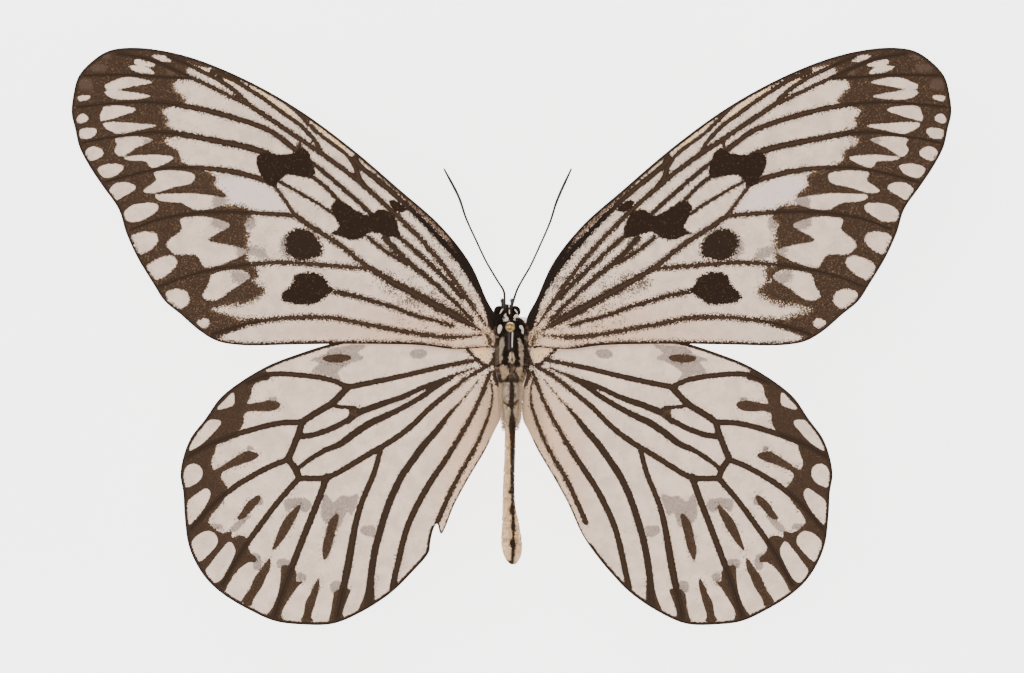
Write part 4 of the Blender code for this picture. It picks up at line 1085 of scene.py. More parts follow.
def makeBody(material):
    rings, stations = bodyRings()
    count, sides, _ = rings.shape
    points = rings.reshape(-1, 3)
    number = np.arange(count * sides).reshape(count, sides)
    after = np.roll(number, -1, axis=1)
    faces = np.stack([number[:-1], after[:-1], after[1:], number[1:]], axis=-1).reshape(-1, 4).tolist()
    nose, tail = len(points), len(points) + 1
    tip = np.array((0, 0.03, 0))
    points = np.vstack([points, rings[0].mean(axis=0) + tip, rings[-1].mean(axis=0) - tip])
    faces += [[int(a), int(b), nose] for a, b in zip(after[0], number[0])]
    faces += [[int(a), int(b), tail] for a, b in zip(number[-1], after[-1])]
    skin = addMesh("BodySkin", points, faces, material)
    centres = np.repeat((stations[:, 3] + stations[:, 4]) / 2, sides)
    talls = np.repeat((stations[:, 3] - stations[:, 4]) / 2, sides)
    ups = np.concatenate([(rings.reshape(-1, 3)[:, 2] - centres) / talls, [0.0, 0.0]])
    skinColours, hairColours = bodyTone(points, ups)
    keepValue(skin, "skinTone", opaque(skinColours), "FLOAT_COLOR")
    keepValue(skin, "coatTone", opaque(hairColours), "FLOAT_COLOR")
    mapSkin(skin, count, sides)
    combHair(skin, points, ups, stations)
    print("body skin", len(skin.data.polygons), "faces")
    return skin


def mapSkin(skin, count, sides):
    # an unwrap of the skin: round the body across, along it upwards
    span, gap = 0.97, 0.01
    around = np.tile(np.arange(sides) / sides, count)
    along = np.repeat(np.arange(count) / count, sides)
    ringMap = np.vstack([np.stack([around, along], axis=1), [0.5, 0.0], [0.5, 1.0]]) * span + gap
    keepValue(skin, "rootMap", np.hstack([ringMap, np.zeros((len(ringMap), 1))]), "FLOAT_VECTOR")
    chart = skin.data.uv_layers.new(name="OFBake")
    for face in skin.data.polygons:
        spots = [ringMap[skin.data.loops[index].vertex_index] for index in face.loop_indices]
        wraps = max(spot[0] for spot in spots) - min(spot[0] for spot in spots) > 0.6
        for index, spot in zip(face.loop_indices, spots):
            chart.data[index].uv = (spot[0] + (span if wraps and spot[0] < 0.3 else 0.0), spot[1])


def combHair(skin, points, ups, stations):
    # which way each hair lies, its tone at the wing roots, and where each coat grows
    x, y, z = points.T
    middle = np.interp(-y, -stations[:, 0], stations[:, 1])
    halves = np.interp(-y, -stations[:, 0], stations[:, 2])
    # the short coat lies rearwards, down the sides, and forwards over the brow
    outward = np.sign(x - middle) * np.clip(np.abs(x - middle), 0.0, 1.2)
    lie = np.stack([outward * 0.55, np.where(y > 4.1, 0.9, -1.0), -0.25 - 0.5 * (ups < 0.2)], axis=1)
    keepValue(skin, "lie", lie, "FLOAT_VECTOR")
    # hair at the wing roots springs from the flanks and lies out over the gap
    outwards = np.sign(x - middle) * (0.2 + 0.4 * fade(-y, 6.5, 7.5))
    forwards = -1.0 + 1.1 * fade(y, -3.0, 1.2) + 0.3 * fade(y, 1.2, 1.6)
    keepValue(skin, "sweep", np.stack([outwards, forwards, np.full(len(x), -0.3)], axis=1), "FLOAT_VECTOR")
    rootTone = bodyColour("hair") * (0.7 + 0.5 * fade(np.sin(y * 9.0 + x * 3.0), -1.0, 1.0))[:, None]
    mingled = np.sin(y * 37.0 + z * 51.0) + np.sin(y * 23.0 - z * 67.0)
    streaks = 0.8 * fade(mingled, 0.3, 1.1) * (0.12 + 0.7 * np.exp(-((y + 0.2) / 0.7) ** 2)
                                               + 0.6 * np.exp(-((y + 4.7) / 0.8) ** 2))
    beige = 0.8 * fade(x, 0.0, 0.2) * fade(-y, 5.0, 5.8) * fade(mingled, -0.9, -0.3)
    beside = 0.3 * fade(-x, 0.0, 0.2) * fade(-y, 1.0, 1.7) * fade(y, -4.1, -3.5) * fade(z, 28.3, 28.8)
    for key, part in (("pale hair", streaks), ("beige", beige), ("stripe", beside),
                      ("side hair", fade(-y, 6.5, 7.1))):
        rootTone += (bodyColour(key) - rootTone) * part[:, None]
    rootTone *= (1.0 - 0.65 * fade(y, 0.5, 1.2))[:, None]
    keepValue(skin, "rootTone", opaque(rootTone), "FLOAT_COLOR")
    flanking = fade(np.abs(x - middle) / halves, 0.88, 0.94)
    flank = fade(z, 28.1, 28.3) * fade(-z, -29.2, -28.9) * flanking
    low = fade(z, 27.3, 27.5) * fade(-z, -28.6, -28.3) * flanking
    nape = fade(z, 27.4, 27.7) * fade(y, 1.3, 1.6) * fade(-y, -2.9, -2.7)
    nape = nape * (np.abs(x - middle) / halves > 0.75)
    napeFront = fade(z, 27.2, 27.5) * fade(y, 2.5, 2.7) * fade(-y, -3.4, -3.2)
    shaved = np.zeros(len(points))
    for _, width, ends in bareMarks:
        aside = lineDistance(points[:, :2], np.array(ends), 1.0, (width,))
        shaved = np.maximum(shaved, fade(-aside, -0.24, -0.14) * (ups > 0.3))
    shares = {
        "Thorax": fade(y, -7.0, -6.6) * fade(-y, -2.75, -2.45) * (1.0 - shaved),
        "Head": fade(y, 2.5, 2.8) * (1.0 - shaved),
        "Abdomen": fade(-y, 6.7, 7.2),
        "NapeLeft": np.maximum(nape, napeFront) * (x < middle - 0.6),
        "NapeRight": nape * (x > middle) * fade(-y, -2.5, -2.3),
        "Root": np.maximum(flank * fade(-y, -1.4, -1.0) * fade(y, -6.9, -6.5),
                           low * fade(-y, 1.6, 2.2) * fade(y, -6.9, -6.5)),
        "Side": low * fade(-y, 6.5, 6.9) * fade(y, -14.2, -13.2),
    }
    for name, share in shares.items():
        keepValue(skin, "hair" + name, share)


def bodyMaterial(name, roughness, relief, toneName):
    # hairs and streaks over the tone that the mesh carries under that name
    paint = Paint(name)
    place = paint.place()
    laid = paint.node("ShaderNodeAttribute", {"attribute_name": toneName}, out=0)
    grain = paint.noise(place, 10.0, 3.0, 0.65)
    strands = paint.noise(paint.stretched(place, (14.0, 3.0, 14.0)), 1.0, 2.0, 0.6)
    chance = paint.chances(place, 9.0)[0]
    streaks = paint.noise(paint.stretched(place, (4.5, 0.8, 4.5)), 1.0, 2.0, 0.5)
    colour = paint.shaded(laid, 0.27 + strands * 0.5 + streaks * 0.85 + grain * 0.16)
    colour = paint.mix(paint.above(chance, 0.9, 0.97) * 0.45, colour, tone(84, 62, 46))
    bump = paint.bump(strands * 0.7 + grain * 0.5, relief, 0.7)
    return paint.finish({"Base Color": colour, "Roughness": roughness + grain * 0.15, "Normal": bump,
                         "Specular IOR Level": 0.12})


# The coat: tufts of fine hairs set over the skin by Geometry Nodes, density to the square millimetre
coats = {
    "Thorax": {"density": 19.0, "length": 0.66, "width": 0.9, "lift": (0.1, 0.36),
        "seed": 11, "way": "lie"},
    "Head": {"density": 60.0, "length": 0.36, "width": 0.6, "lift": (0.15, 0.6),
        "seed": 12, "way": "lie"},
    "Abdomen": {"density": 12.0, "length": 0.44, "width": 0.8, "lift": (0.02, 0.14),
        "seed": 13, "way": "lie"},
    "NapeLeft": {"density": 160.0, "length": 1.25, "width": 1.2, "lift": (0.9, 1.6),
        "seed": 17, "way": "sweep"},
    "NapeRight": {"density": 160.0, "length": 0.7, "width": 1.1, "lift": (0.8, 1.5),
        "seed": 18, "way": "sweep"},
    "Root": {"density": 120.0, "length": 0.95, "width": 1.0, "lift": (0.5, 1.4),
        "seed": 14, "way": "sweep"},
    "Side": {"density": 120.0, "length": 0.8, "width": 0.8, "lift": (1.0, 1.5),
        "seed": 15, "way": "sweep"},
}
# one tuft of unit length; turn and sizes are how far one may differ from the next
tuft = {"hairs": 4, "radius": 0.036, "spread": 0.34, "bends": 3, "curl": 0.16, "patch": 0.003,
        "turn": 0.26, "turnSeed": 5, "sizes": (0.7, 1.15), "sizeSeed": 8}


def makeTuft():
    # one tuft of unit length along +X, whose hairs are tapered and three-sided
    points, faces, chart = [], [], []
    for hair in range(tuft["hairs"]):
        share = hair / (tuft["hairs"] - 1) - 0.5
        turn = share * tuft["spread"]
        reach = 1.0 - 0.28 * abs(share) - 0.09 * (hair % 2)
        start = len(points)
        for bend in range(tuft["bends"]):
            along = bend / tuft["bends"]
            radius = tuft["radius"] * (1.0 - 0.75 * along)
            middle = Vector((along * reach * math.cos(turn), along * reach * math.sin(turn) + share * 0.1,
                             tuft["curl"] * along * (1.0 - along) * 2.0 - 0.02))
            for corner in range(3):
                angle = 2.0 * math.pi * corner / 3 + hair
                points.append(middle + Vector((0.0, math.cos(angle), math.sin(angle))) * radius)
                chart.append((along - 0.5, share * 0.8 + 0.1 * math.cos(angle)))
        points.append(Vector((reach * math.cos(turn), reach * math.sin(turn) + share * 0.1, 0.0)))
        chart.append((0.5, share * 0.8))
        for bend in range(tuft["bends"] - 1):
            low = start + bend * 3
            for corner in range(3):
                after = (corner + 1) % 3
                faces.append((low + corner, low + after, low + 3 + after, low + 3 + corner))
        high = start + (tuft["bends"] - 1) * 3
        for corner in range(3):
            faces.append((high + corner, high + (corner + 1) % 3, len(points) - 1))
        faces.append((start + 2, start + 1, start))
    mesh = bpy.data.meshes.new("tuft")
    mesh.from_pydata(points, [], faces)
    patch = mesh.attributes.new("patch", "FLOAT_VECTOR", "POINT")
    patch.data.foreach_set("vector", [value for u, v in chart for value in (u, v, 0.0)])
    mesh.shade_smooth()
    return addObject("tuft", mesh)


class Tree:
    # a Geometry Nodes tree whose inputs are named sizes
    def __init__(self, name, inputs):
        self.tree = bpy.data.node_groups.new(name, "GeometryNodeTree")
        self.tree.interface.new_socket("Geometry", in_out="INPUT", socket_type="NodeSocketGeometry")
        for key, kind in inputs.items():
            self.tree.interface.new_socket(key, in_out="INPUT", socket_type="NodeSocket" + kind)
        self.tree.interface.new_socket("Geometry", in_out="OUTPUT", socket_type="NodeSocketGeometry")
        self.given = self.tree.nodes.new("NodeGroupInput").outputs

    def node(self, kind, settings=None, sockets=None):
        made = self.tree.nodes.new(kind)
        for key, value in (settings or {}).items():
            setattr(made, key, value)
        for key, value in (sockets or {}).items():
            if isinstance(value, bpy.types.NodeSocket):
                self.tree.links.new(value, made.inputs[key])
            else:
                made.inputs[key].default_value = value
        return made

    def read(self, name, kind):
        return self.node("GeometryNodeInputNamedAttribute", {"data_type": kind}, {"Name": name}).outputs[0]

    def times(self, first, second):
        return self.node("ShaderNodeMath", {"operation": "MULTIPLY"}, {0: first, 1: second}).outputs[0]

    def chance(self, low, high, seed):
        # a number between the two for each point
        return self.node("FunctionNodeRandomValue", {"data_type": "FLOAT"},
                         {2: low, 3: high, "Seed": seed}).outputs[1]

    def close(self, geometry, material):
        coated = self.node("GeometryNodeSetMaterial", None, {"Geometry": geometry, "Material": material})
        output = self.tree.nodes.new("NodeGroupOutput")
        self.tree.links.new(coated.outputs[0], output.inputs[0])
        return self.tree


def coatTree(model):
    # scatters a tuft over a surface, lying the way that the surface's own named vector points
    work = Tree("coat", {"Share": "String", "Way": "String", "Density": "Float", "Length": "Float",
                         "Width": "Float", "LiftLow": "Float", "LiftHigh": "Float", "Seed": "Int",
                         "Material": "Material"})
    given = work.given
    density = work.times(work.read(given["Share"], "FLOAT"), given["Density"])
    spread = work.node("GeometryNodeDistributePointsOnFaces", {"distribute_method": "RANDOM"},
                       {"Mesh": given["Geometry"], "Density": density, "Seed": given["Seed"]})
    lying = work.node("FunctionNodeAlignRotationToVector", {"axis": "X"},
                      {"Vector": work.read(given["Way"], "FLOAT_VECTOR")})
    facing = work.node("FunctionNodeAlignRotationToVector", {"axis": "Z", "pivot_axis": "AUTO"},
                       {"Rotation": lying.outputs[0], "Vector": spread.outputs["Normal"]})
    lift = work.times(work.chance(given["LiftLow"], given["LiftHigh"], given["Seed"]), -1.0)
    turn = work.chance(-tuft["turn"], tuft["turn"], tuft["turnSeed"])
    tilt = work.node("ShaderNodeCombineXYZ", None, {"Y": lift, "Z": turn})
    turned = work.node("FunctionNodeRotateRotation", {"rotation_space": "LOCAL"},
                       {"Rotation": facing.outputs[0], "Rotate By": tilt.outputs[0]})
    length = work.times(work.chance(*tuft["sizes"], tuft["sizeSeed"]), given["Length"])
    size = work.node("ShaderNodeCombineXYZ", None, {"X": length, "Y": given["Width"], "Z": given["Width"]})
    source = work.node("GeometryNodeObjectInfo", {"transform_space": "ORIGINAL"}, {"Object": model})
    placed = work.node("GeometryNodeInstanceOnPoints", None,
                       {"Points": spread.outputs["Points"], "Instance": source.outputs["Geometry"],
                        "Rotation": turned.outputs[0], "Scale": size.outputs[0]})
    real = work.node("GeometryNodeRealizeInstances", None, {0: placed.outputs[0]})
    patch = work.node("ShaderNodeVectorMath", {"operation": "SCALE"},
                      {0: work.read("patch", "FLOAT_VECTOR"), 3: tuft["patch"]})
    spot = work.node("ShaderNodeVectorMath", {"operation": "ADD"},
                     {0: work.read("rootMap", "FLOAT_VECTOR"), 1: patch.outputs[0]})
    mapped = work.node("GeometryNodeStoreNamedAttribute", {"data_type": "FLOAT2", "domain": "CORNER"},
                       {"Geometry": real.outputs[0], "Name": "OFBake", "Value": spot.outputs[0]})
    return work.close(mapped.outputs[0], given["Material"])


def growCoat(name, carrier, tree, share, sizes, material):
    # runs the tree on a surface and keeps what grew as a mesh of its own
    grower = carrier.modifiers.new("coat", "NODES")
    grower.node_group = tree
    values = {"Share": share, "Way": sizes["way"], "Material": material,
              "Density": sizes["density"] * 1e6, "Length": sizes["length"] * mm,
              "Width": sizes["width"] * mm, "LiftLow": sizes["lift"][0], "LiftHigh": sizes["lift"][1],
              "Seed": sizes["seed"]}
    for item in tree.interface.items_tree:
        if item.in_out == "INPUT" and item.name in values:
            grower[item.identifier] = values[item.name]
    carrier.update_tag()
    bpy.context.view_layer.update()
    grown = bpy.data.meshes.new_from_object(carrier.evaluated_get(bpy.context.evaluated_depsgraph_get()))
    carrier.modifiers.remove(grower)
    print("coat", name, len(grown.polygons), "faces")
    return addObject(name, grown)


def makeCoats(skin, tree):
    short = bodyMaterial("coat hair", 0.8, 0.02, "coatTone")
    long = bodyMaterial("wing root hair", 0.8, 0.02, "rootTone")
    for name, sizes in coats.items():
        finish = long if sizes["way"] == "sweep" else short
        coat = growCoat("Coat" + name, skin, tree, "hair" + name, sizes, finish)
        settle(coat, "abdomen" if name == "Abdomen" else "body")


# Eyes, feelers, mouthparts, legs and the pin, along the solids' own paths
limbs = {
    "headX": -0.65,
    "eyeOffset": 1.2,
    "eyeCentre": (3.75, 27.3),
    "eyeRadii": (0.83, 0.88, 1.07),
    "eyeRings": 48,
    "antennae": {
        "left": [(-1.0, 4.2, 29.1), (-1.05, 4.8, 29.5), (-1.14, 6.75, 29.8), (-2.04, 8.25, 29.9),
            (-3.8, 11.25, 30.1), (-5.3, 14.4, 30.2), (-6.8, 17.7, 30.3), (-7.9, 20.9, 30.3),
            (-10.1, 25.1, 30.4)],
        "right": [(-0.2, 4.2, 29.1), (0.1, 4.8, 29.5), (0.86, 7.05, 29.8), (1.75, 8.7, 29.9),
            (2.7, 10.3, 30.0), (4.2, 13.5, 30.2), (5.8, 17.2, 30.3), (6.8, 20.3, 30.3),
            (8.95, 25.1, 30.4)],
    },
    "antennaRadii": (0.22, 0.18, 0.16, 0.155, 0.15, 0.15, 0.15, 0.16, 0.18, 0.2, 0.2, 0.13),
    "antennaStep": 0.42,
    "palpOffset": 0.72,
    "palp": [(4.5, 25.5), (4.95, 25.75), (5.3, 26.3), (5.42, 26.9), (5.45, 27.6)],
    "palpRadii": (0.2, 0.23, 0.23, 0.17, 0.2, 0.15, 0.07),
    "tongueCentre": (4.0, 24.45),
    "tongueTurns": 1.95,
    "tongueEnd": 308.0,          # degrees, from the front upwards
    "tongueRadii": (0.3, 1.1),
    "legs": {
        "fore": ([(1.05, 0.6, 24.1), (1.1, 1.2, 23.5), (1.1, 2.2, 23.3), (1.0, 2.6, 23.5)],
            (0.24, 0.22, 0.17, 0.15, 0.12, 0.08), ()),
        "mid": ([(0.8, -0.8, 23.65), (1.6, -1.2, 22.5), (4.6, -2.4, 20.6), (4.5, -2.9, 20.2),
            (3.4, -5.2, 17.6), (2.2, -8.0, 15.6), (1.5, -9.6, 14.9)],
            (0.36, 0.32, 0.26, 0.25, 0.17, 0.16, 0.18, 0.15, 0.14, 0.15, 0.12),
            (0.7, 0.78, 0.85, 0.91, 0.96)),
        "hind": ([(0.8, -3.0, 23.6), (1.5, -3.6, 22.8), (3.9, -6.2, 21.8), (3.85, -6.6, 21.4),
            (2.6, -9.2, 19.6), (1.2, -10.6, 18.3)],
            (0.36, 0.32, 0.26, 0.25, 0.17, 0.16, 0.18, 0.15, 0.14, 0.12), (0.72, 0.8, 0.86, 0.92)),
    },
    "ringDepth": 0.035,
    "ringWidth": 0.006,
    "claw": 0.5,
    "spine": 0.34,
    "spines": (0.45, 0.95, 15),  # the shares of the leg where they start and end, and how many
    "bristles": {"count": 110, "from": 0.25, "reach": (0.3, 0.22), "radii": (0.03, 0.022, 0.005), "seed": 21},
    # tufts of white scales: middle, radii, how far they widen to the front, lean and turn in degrees
    "lobes": {
        "TegulaLeft": ((-1.76, 1.08, 29.42), (0.36, 0.7, 0.24), 0.3, -24, -12),
        "TegulaRight": ((1.5, 1.02, 29.42), (0.35, 0.7, 0.24), 0.3, 24, 18),
        "OcciputLeft": ((-0.97, 2.9, 28.58), (0.46, 0.6, 0.17), -0.85, -10, 2),
        "OcciputRight": ((0.72, 2.9, 28.22), (0.46, 0.46, 0.17), -0.1, 22, -12),
        "BrowLeft": ((-1.52, 3.76, 28.42), (0.14, 0.5, 0.12), 0.5, -16, -36),
        "BrowRight": ((0.7, 3.78, 28.32), (0.12, 0.42, 0.12), 0.5, 8, 38),
    },
    "pinAt": (-0.2, 1.4),
    "pinRadius": 0.26,
    "pinTip": 2.3,
    "pinPoint": 1.2,
    "pinHead": (38.6, 0.73),
}


def joinShapes(*shapes):
    # several (points, faces) as one
    points, faces = [], []
    for shapePoints, shapeFaces in shapes:
        faces += [[index + len(points) for index in face] for face in shapeFaces]
        points += [tuple(point) for point in shapePoints]
    return points, faces


def ringFaces(rings, around):
    # quads between rings that have the same number of points
    faces = []
    for ring in range(rings - 1):
        for corner in range(around):
            low = ring * around + corner
            high = ring * around + (corner + 1) % around
            faces.append((low, high, high + around, low + around))
    return faces


def tube(path, radii, step, sides, ringed=None):
    # a closed tube whose radii are spread evenly along the path; ringed adds to each radius
    line = flowLine(path, step)
    size = alongLine(radii, len(line))
    if ringed is not None:
        size = size + ringed(np.linspace(0.0, 1.0, len(line)), line)
    ways = headings(line)
    side = np.cross(ways[0], (0.0, 0.0, 1.0))
    if np.linalg.norm(side) < 0.1:
        side = np.cross(ways[0], (0.0, 1.0, 0.0))
    angles = np.linspace(0.0, 2.0 * math.pi, sides, endpoint=False)
    points = []
    for centre, way, radius in zip(line, ways, size):
        side = side - way * (side @ way)
        side /= np.linalg.norm(side)
        other = np.cross(way, side)
        ring = np.cos(angles)[:, None] * side + np.sin(angles)[:, None] * other
        points.append(centre + ring * radius)
    faces = ringFaces(len(line), sides)
    # low cones close the ends
    points += [line[0] - ways[0] * size[0] * 0.5, line[-1] + ways[-1] * size[-1] * 0.8]
    points = np.vstack(points)
    first, last = len(points) - 2, len(points) - 1
    end = (len(line) - 1) * sides
    for corner in range(sides):
        after = (corner + 1) % sides
        faces.append((after, corner, first))
        faces.append((end + corner, end + after, last))
    return points, faces


def ball(centre, radii, rings):
    around = rings * 2
    points = [(centre[0], centre[1], centre[2] + radii[2])]
    for ring in range(1, rings):
        polar = math.pi * ring / rings
        for number in range(around):
            angle = 2.0 * math.pi * number / around
            points.append((centre[0] + radii[0] * math.sin(polar) * math.cos(angle),
                           centre[1] + radii[1] * math.sin(polar) * math.sin(angle),
                           centre[2] + radii[2] * math.cos(polar)))
    points.append((centre[0], centre[1], centre[2] - radii[2]))
    faces = []
    for number in range(around):
        after = (number + 1) % around
        faces.append((0, 1 + number, 1 + after))
        for ring in range(rings - 2):
            low = 1 + ring * around
            faces.append((low + number, low + around + number, low + around + after, low + after))
        low = 1 + (rings - 2) * around
        faces.append((low + after, low + number, len(points) - 1))
    return points, faces


def eyeMaterial():
    paint = Paint("eye")
    place = paint.place()
    facets = paint.cells(place, 26.0)
    sheen = paint.noise(place, 1.6, 2.0)
    colour = paint.mix(sheen, tone(20, 14, 11), tone(36, 25, 18))
    return paint.finish({"Base Color": colour, "Roughness": 0.42 + facets * 0.08, "Specular IOR Level": 0.03,
                         "IOR": 1.2, "Normal": paint.bump(facets, 0.004, 0.3)})


# hard parts: the tone, that of the scales scattered over it, and their share
hornTones = {
    "horn": ((44, 30, 24), (92, 68, 52), 0.08),
    "feeler horn": ((34, 24, 18), (70, 50, 38), 0.1),
    "leg horn": ((60, 44, 35), (176, 162, 148), 0.3),
    "palp hair": ((30, 21, 16), (64, 46, 34), 0.1),
    "white scales": ((204, 198, 188), (140, 120, 104), 0.08),
}


def hornMaterial(name):
    base, pale, paleShare = hornTones[name]
    paint = Paint(name)
    place = paint.place()
    grain = paint.noise(place, 7.0, 3.0, 0.6)
    chance = paint.chances(place, 10.0)[0]
    colour = paint.mix(paint.above(chance, 1.0 - paleShare, 1.05 - paleShare) * 0.6, tone(*base), tone(*pale))
    colour = paint.shaded(colour, 0.8 + grain * 0.4)
    return paint.finish({"Base Color": colour, "Roughness": 0.46 + grain * 0.2,
                         "Normal": paint.bump(grain, 0.02, 0.5), "Specular IOR Level": 0.3})


def pinMaterial():
    paint = Paint("pin brass")
    place = paint.place()
    grain = paint.noise(place, 3.0, 3.0)
    drawn = paint.noise(paint.stretched(place, (16.0, 16.0, 0.8)), 1.0, 2.0)
    colour = paint.mix(grain, (0.3, 0.207, 0.083, 1.0), (0.24, 0.155, 0.056, 1.0))
    return paint.finish({"Base Color": colour, "Metallic": 1.0, "Roughness": 0.26 + drawn * 0.16,
                         "Normal": paint.bump(drawn, 0.004, 0.3)})


def blockMaterial():
    paint = Paint("block paint")
    place = paint.place()
    brushed = paint.noise(paint.stretched(place, (0.12, 1.6, 1.6)), 1.0, 3.0, 0.6)
    grain = paint.noise(place, 1.4, 4.0, 0.6)
    colour = paint.mix(paint.above(brushed, 0.3, 0.75), (0.82, 0.81, 0.79, 1.0), (0.88, 0.875, 0.86, 1.0))
    return paint.finish({"Base Color": colour, "Roughness": 0.5 + grain * 0.2,
                         "Normal": paint.bump(brushed * 0.7 + grain * 0.4, 0.05, 0.4)})


def makeAntenna(name, horn):
    def ringed(share, line):
        # the feeler's many short joints
        along = share * (len(line) - 1) * 0.06
        return 0.014 * np.abs(np.sin(math.pi * along / limbs["antennaStep"])) - 0.007
    shape = tube(limbs["antennae"][name], limbs["antennaRadii"], 0.06, 12, ringed)
    base = ball(limbs["antennae"][name][0], (0.23, 0.23, 0.22), 10)
    points, faces = joinShapes(shape, base)
    settle(addMesh("Antenna" + name.title(), points, faces, horn), "limb", "antenna_" + name)


def makeLeg(leg, name, side, horn):
    path, radii, rings = limbs["legs"][leg]
    path = [(x * side, y, z) for x, y, z in path]

    def ringed(share, line):
        grow = np.zeros(len(share))
        for ring in rings:
            grow -= limbs["ringDepth"] * np.exp(-((share - ring) / limbs["ringWidth"]) ** 2)
        return grow
    shapes = [tube(path, radii, 0.1, 14, ringed)]
    line = flowLine(path, 0.1)
    if rings:
        ways = headings(line)
        # spines under the shin and the foot, two by two, and the claws
        for share in np.linspace(*limbs["spines"]):
            index = int(share * (len(line) - 1))
            across = np.cross(ways[index], (0.0, 0.0, 1.0))
            across /= np.linalg.norm(across)
            down = np.cross(across, ways[index])
            down *= -np.sign(down[2]) if down[2] else 1.0
            for lean in (-1.0, 1.0):
                out = across * 0.55 * lean + down * 0.75 + ways[index] * 0.75
                out /= np.linalg.norm(out)
                start = line[index] + out * 0.08
                shapes.append(tube([start, start + out * limbs["spine"] * 0.5, start + out * limbs["spine"]],
                                   (0.035, 0.022, 0.006), 0.08, 5))
        end, way = line[-1], ways[-1]
        across = np.cross(way, (0.0, 0.0, 1.0))
        across /= np.linalg.norm(across)
        for lean in (-1.0, 1.0):
            reach = limbs["claw"]
            claw = [end, end + way * reach * 0.5 + across * lean * 0.14 + np.array((0, 0, 0.05)),
                    end + way * reach * 0.85 + across * lean * 0.2 - np.array((0, 0, 0.12))]
            shapes.append(tube(claw, (0.075, 0.05, 0.008), 0.06, 8))
    points, faces = joinShapes(*shapes)
    made = addMesh("Leg" + leg.title() + name.title(), points, faces, horn)
    settle(made, "limb", "leg_" + leg + "_" + name)


def makeTongue(horn):
    # a flat coil like a watch spring
    turns = limbs["tongueTurns"]
    inner, outer = limbs["tongueRadii"]
    y, z = limbs["tongueCentre"]
    coil = []
    for share in np.linspace(0.0, 1.0, 40):
        angle = 2.0 * math.pi * turns * (share - 1.0) + math.radians(limbs["tongueEnd"])
        radius = inner + (outer - inner) * share
        coil.append((limbs["headX"], y + radius * math.cos(angle), z + radius * math.sin(angle)))

    def ringed(share, line):
        along = share * (len(line) - 1) * 0.05
        return 0.012 * np.sin(2.0 * math.pi * along / 0.16)
    points, faces = tube(coil, (0.07, 0.11, 0.15, 0.17), 0.04, 14, ringed)
    settle(addMesh("Proboscis", points, faces, horn), "limb", "proboscis")


def makePin(brass):
    # one turned outline: point, shaft and round head
    headAt, headRadius = limbs["pinHead"]
    x, y = limbs["pinAt"]
    tip, point, shaft = limbs["pinTip"], limbs["pinPoint"], limbs["pinRadius"]
    outline = [(0.02, tip), (shaft * 0.6, tip + point * 0.55), (shaft, tip + point)]
    outline += [(shaft, z) for z in np.linspace(4.0, headAt - headRadius * 0.95, 30)]
    for number in range(15):
        angle = math.radians(-68 + number * 158 / 14)
        outline.append((headRadius * math.cos(angle), headAt + headRadius * math.sin(angle)))
    around = 40
    turns = [2 * math.pi * number / around for number in range(around)]
    points = [(x + radius * math.cos(turn), y + radius * math.sin(turn), z)
              for radius, z in outline for turn in turns]
    faces = ringFaces(len(outline), around)
    faces.append(tuple(range(around))[::-1])
    faces.append(tuple(range(len(points) - around, len(points))))
    settle(addMesh("Pin", points, faces, brass, 40.0), "pin", "stand_pin")


def makeLobe(name, white):
    centre, radii, widen, lean, turn = limbs["lobes"][name]
    points, faces = ball((0.0, 0.0, 0.0), radii, 20)
    points = np.array(points)
    points[:, 0] *= 1.0 + widen * points[:, 1] / radii[1]
    # the rear edge breaks up into the tips of its scales
    points[:, 1] *= 1.0 + 0.06 * np.sin(points[:, 0] / radii[0] * 14.0) * fade(-points[:, 1], 0.0, radii[1])
    tilt = Matrix.Rotation(math.radians(turn), 3, "Z") @ Matrix.Rotation(math.radians(lean), 3, "Y")
    points = points @ np.array(tilt).T + centre
    settle(addMesh(name, points, faces, white), "body")


def makeBristles(name, path, dark):
    # short stiff hairs that bush out round a palp
    make = limbs["bristles"]
    shortest, longer = make["reach"]
    line = flowLine(path, 0.1)
    ways = headings(line)
    chance = np.random.default_rng(make["seed"])
    shapes = []
    for number in range(make["count"]):
        index = int(len(line) * (make["from"] + (1.0 - make["from"]) * chance.random()) * 0.999)
        spin = chance.random() * 2.0 * math.pi
        across = np.cross(ways[index], (1.0, 0.0, 0.0))
        across /= np.linalg.norm(across)
        other = np.cross(ways[index], across)
        out = (across * math.cos(spin) + other * math.sin(spin)) * 0.75 + ways[index] * 0.65
        reach = shortest + longer * chance.random()
        root = line[index] + out * 0.06
        shapes.append(tube([root, root + out * reach * 0.5, root + out * reach], make["radii"], 0.12, 3))
    points, faces = joinShapes(*shapes)
    settle(addMesh(name, points, faces, dark), "limb")


def makeLimbs():
    horn = hornMaterial("horn")
    feeler = hornMaterial("feeler horn")
    legHorn = hornMaterial("leg horn")
    eye = eyeMaterial()
    dark = hornMaterial("palp hair")
    white = hornMaterial("white scales")
    for name in limbs["lobes"]:
        makeLobe(name, white)
    y, z = limbs["eyeCentre"]
    for name, side in (("left", -1), ("right", 1)):
        centre = (limbs["headX"] + side * limbs["eyeOffset"], y, z)
        points, faces = ball(centre, limbs["eyeRadii"], limbs["eyeRings"])
        settle(addMesh("Eye" + name.title(), points, faces, eye), "eye", "eye_" + name)
        makeAntenna(name, feeler)
        palp = [(limbs["headX"] + side * limbs["palpOffset"], py, pz) for py, pz in limbs["palp"]]
        points, faces = tube(palp, limbs["palpRadii"], 0.06, 18)
        settle(addMesh("Palp" + name.title(), points, faces, horn), "limb", "palp_" + name)
        makeBristles("PalpHair" + name.title(), palp, dark)
        for leg in limbs["legs"]:
            makeLeg(leg, name, side, legHorn)
    makeTongue(horn)
    makePin(pinMaterial())
    print("limbs made")


def paintBlock():
    block = bpy.data.objects["stand_base"]
    for index in range(len(block.data.materials)):
        block.data.materials[index] = blockMaterial()


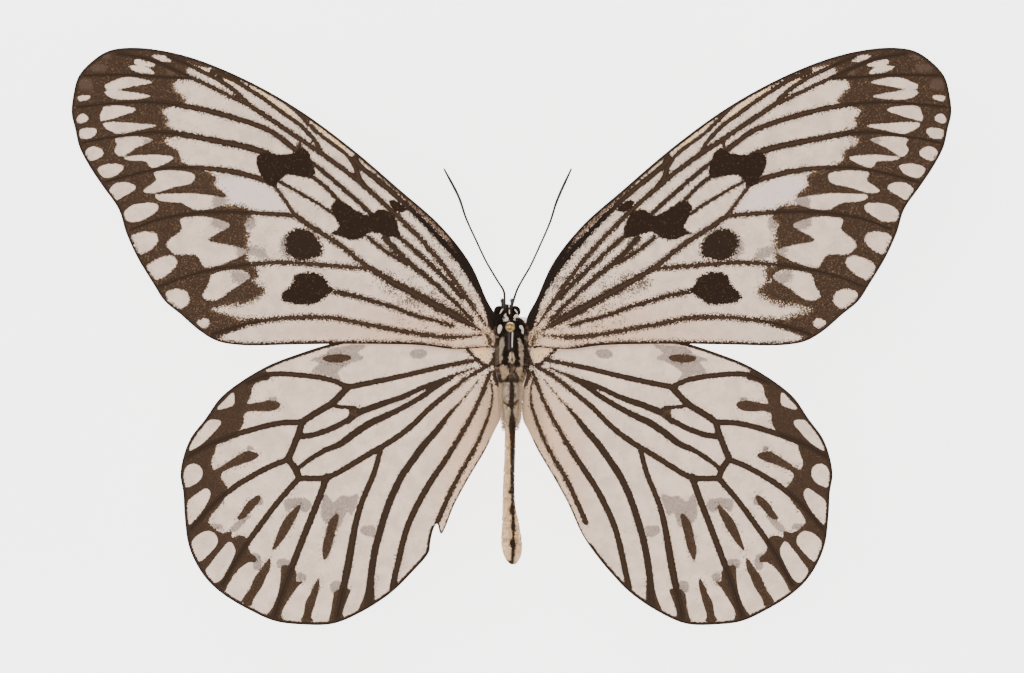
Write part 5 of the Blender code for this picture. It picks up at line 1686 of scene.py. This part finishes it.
studio = {
    "cameraHeight": 1000.0,
    "pixel": 0.15,               # millimetres of the specimen to one pixel of a 1024 x 673 picture
    "pictureSize": (1024, 673),
    "midline": (511.0, 336.0),   # the pixel that looks at the specimen's own origin
    "wingLevel": 28.8,
    "sensor": 36.0,
    "floor": 1400.0,
    "paper": (0.9, 0.9, 0.9),
    "paperGlow": 3.0,
    "lamps": {                   # each one's place, size and power
        "SoftAbove": ((-100.0, 90.0, 760.0), 700.0, 5.8),
        "SoftLeft": ((-620.0, -40.0, 420.0), 500.0, 2.7),
        "SoftRight": ((620.0, -120.0, 420.0), 500.0, 2.25),
    },
    "litPlace": (0.0, 0.0, 25.0),
    "airGlow": 0.73,
}


def makeFloor():
    paint = Paint("studio paper")
    place = paint.place()
    grain = paint.noise(place, 0.6, 3.0)
    colour = paint.shaded(studio["paper"], 0.985 + grain * 0.03)
    paper = paint.finish({"Base Color": colour, "Roughness": 0.9, "Specular IOR Level": 0.1,
                          "Emission Color": (1.0, 1.0, 1.0, 1.0), "Emission Strength": studio["paperGlow"]})
    half = studio["floor"] / 2
    corners = [(-half, -half, 0.0), (half, -half, 0.0), (half, half, 0.0), (-half, half, 0.0)]
    addMesh("Floor", corners, [(0, 1, 2, 3)], paper)


def makeLamp(name, place, size, power):
    light = bpy.data.lights.new(name, "AREA")
    light.shape = "DISK"
    light.size = size * mm
    light.energy = power
    lamp = addObject(name, light)
    lamp.location = Vector(place) * mm
    lamp.rotation_euler = (Vector(studio["litPlace"]) - Vector(place)).to_track_quat("-Z", "Y").to_euler()


def makeStudio():
    makeFloor()
    for name, (place, size, power) in studio["lamps"].items():
        makeLamp(name, place, size, power)
    world = bpy.data.worlds.new("StudioAir")
    bpy.context.scene.world = world
    world.use_nodes = True
    air = world.node_tree.nodes["Background"].inputs
    air["Color"].default_value = (1.0, 1.0, 1.0, 1.0)
    air["Strength"].default_value = studio["airGlow"]


def makeCamera():
    # straight above, far enough for a flat view, framed as the specimen was pictured
    width, height = studio["pictureSize"]
    lens = bpy.data.cameras.new("CopyStand")
    view = addObject("CopyStand", lens)
    level = studio["wingLevel"]
    across = ((width - 1) / 2 - studio["midline"][0]) * studio["pixel"]
    forward = (studio["midline"][1] - (height - 1) / 2) * studio["pixel"]
    view.location = Vector((across, forward, level + studio["cameraHeight"])) * mm
    lens.sensor_width = studio["sensor"]
    lens.lens = studio["sensor"] * studio["cameraHeight"] / (width * studio["pixel"])
    lens.clip_start = 0.01
    lens.clip_end = 10.0
    bpy.context.scene.camera = view


makeWings()
skin = makeBody(bodyMaterial("body fur", 0.82, 0.05, "skinTone"))
settle(skin, "body", "thorax", "head", "abdomen")
tuftModel = makeTuft()
tuftTree = coatTree(tuftModel)
makeCoats(skin, tuftTree)
makeLimbs()
paintBlock()
bpy.data.objects.remove(tuftModel)
bpy.data.node_groups.remove(tuftTree)
makeStudio()
makeCamera()
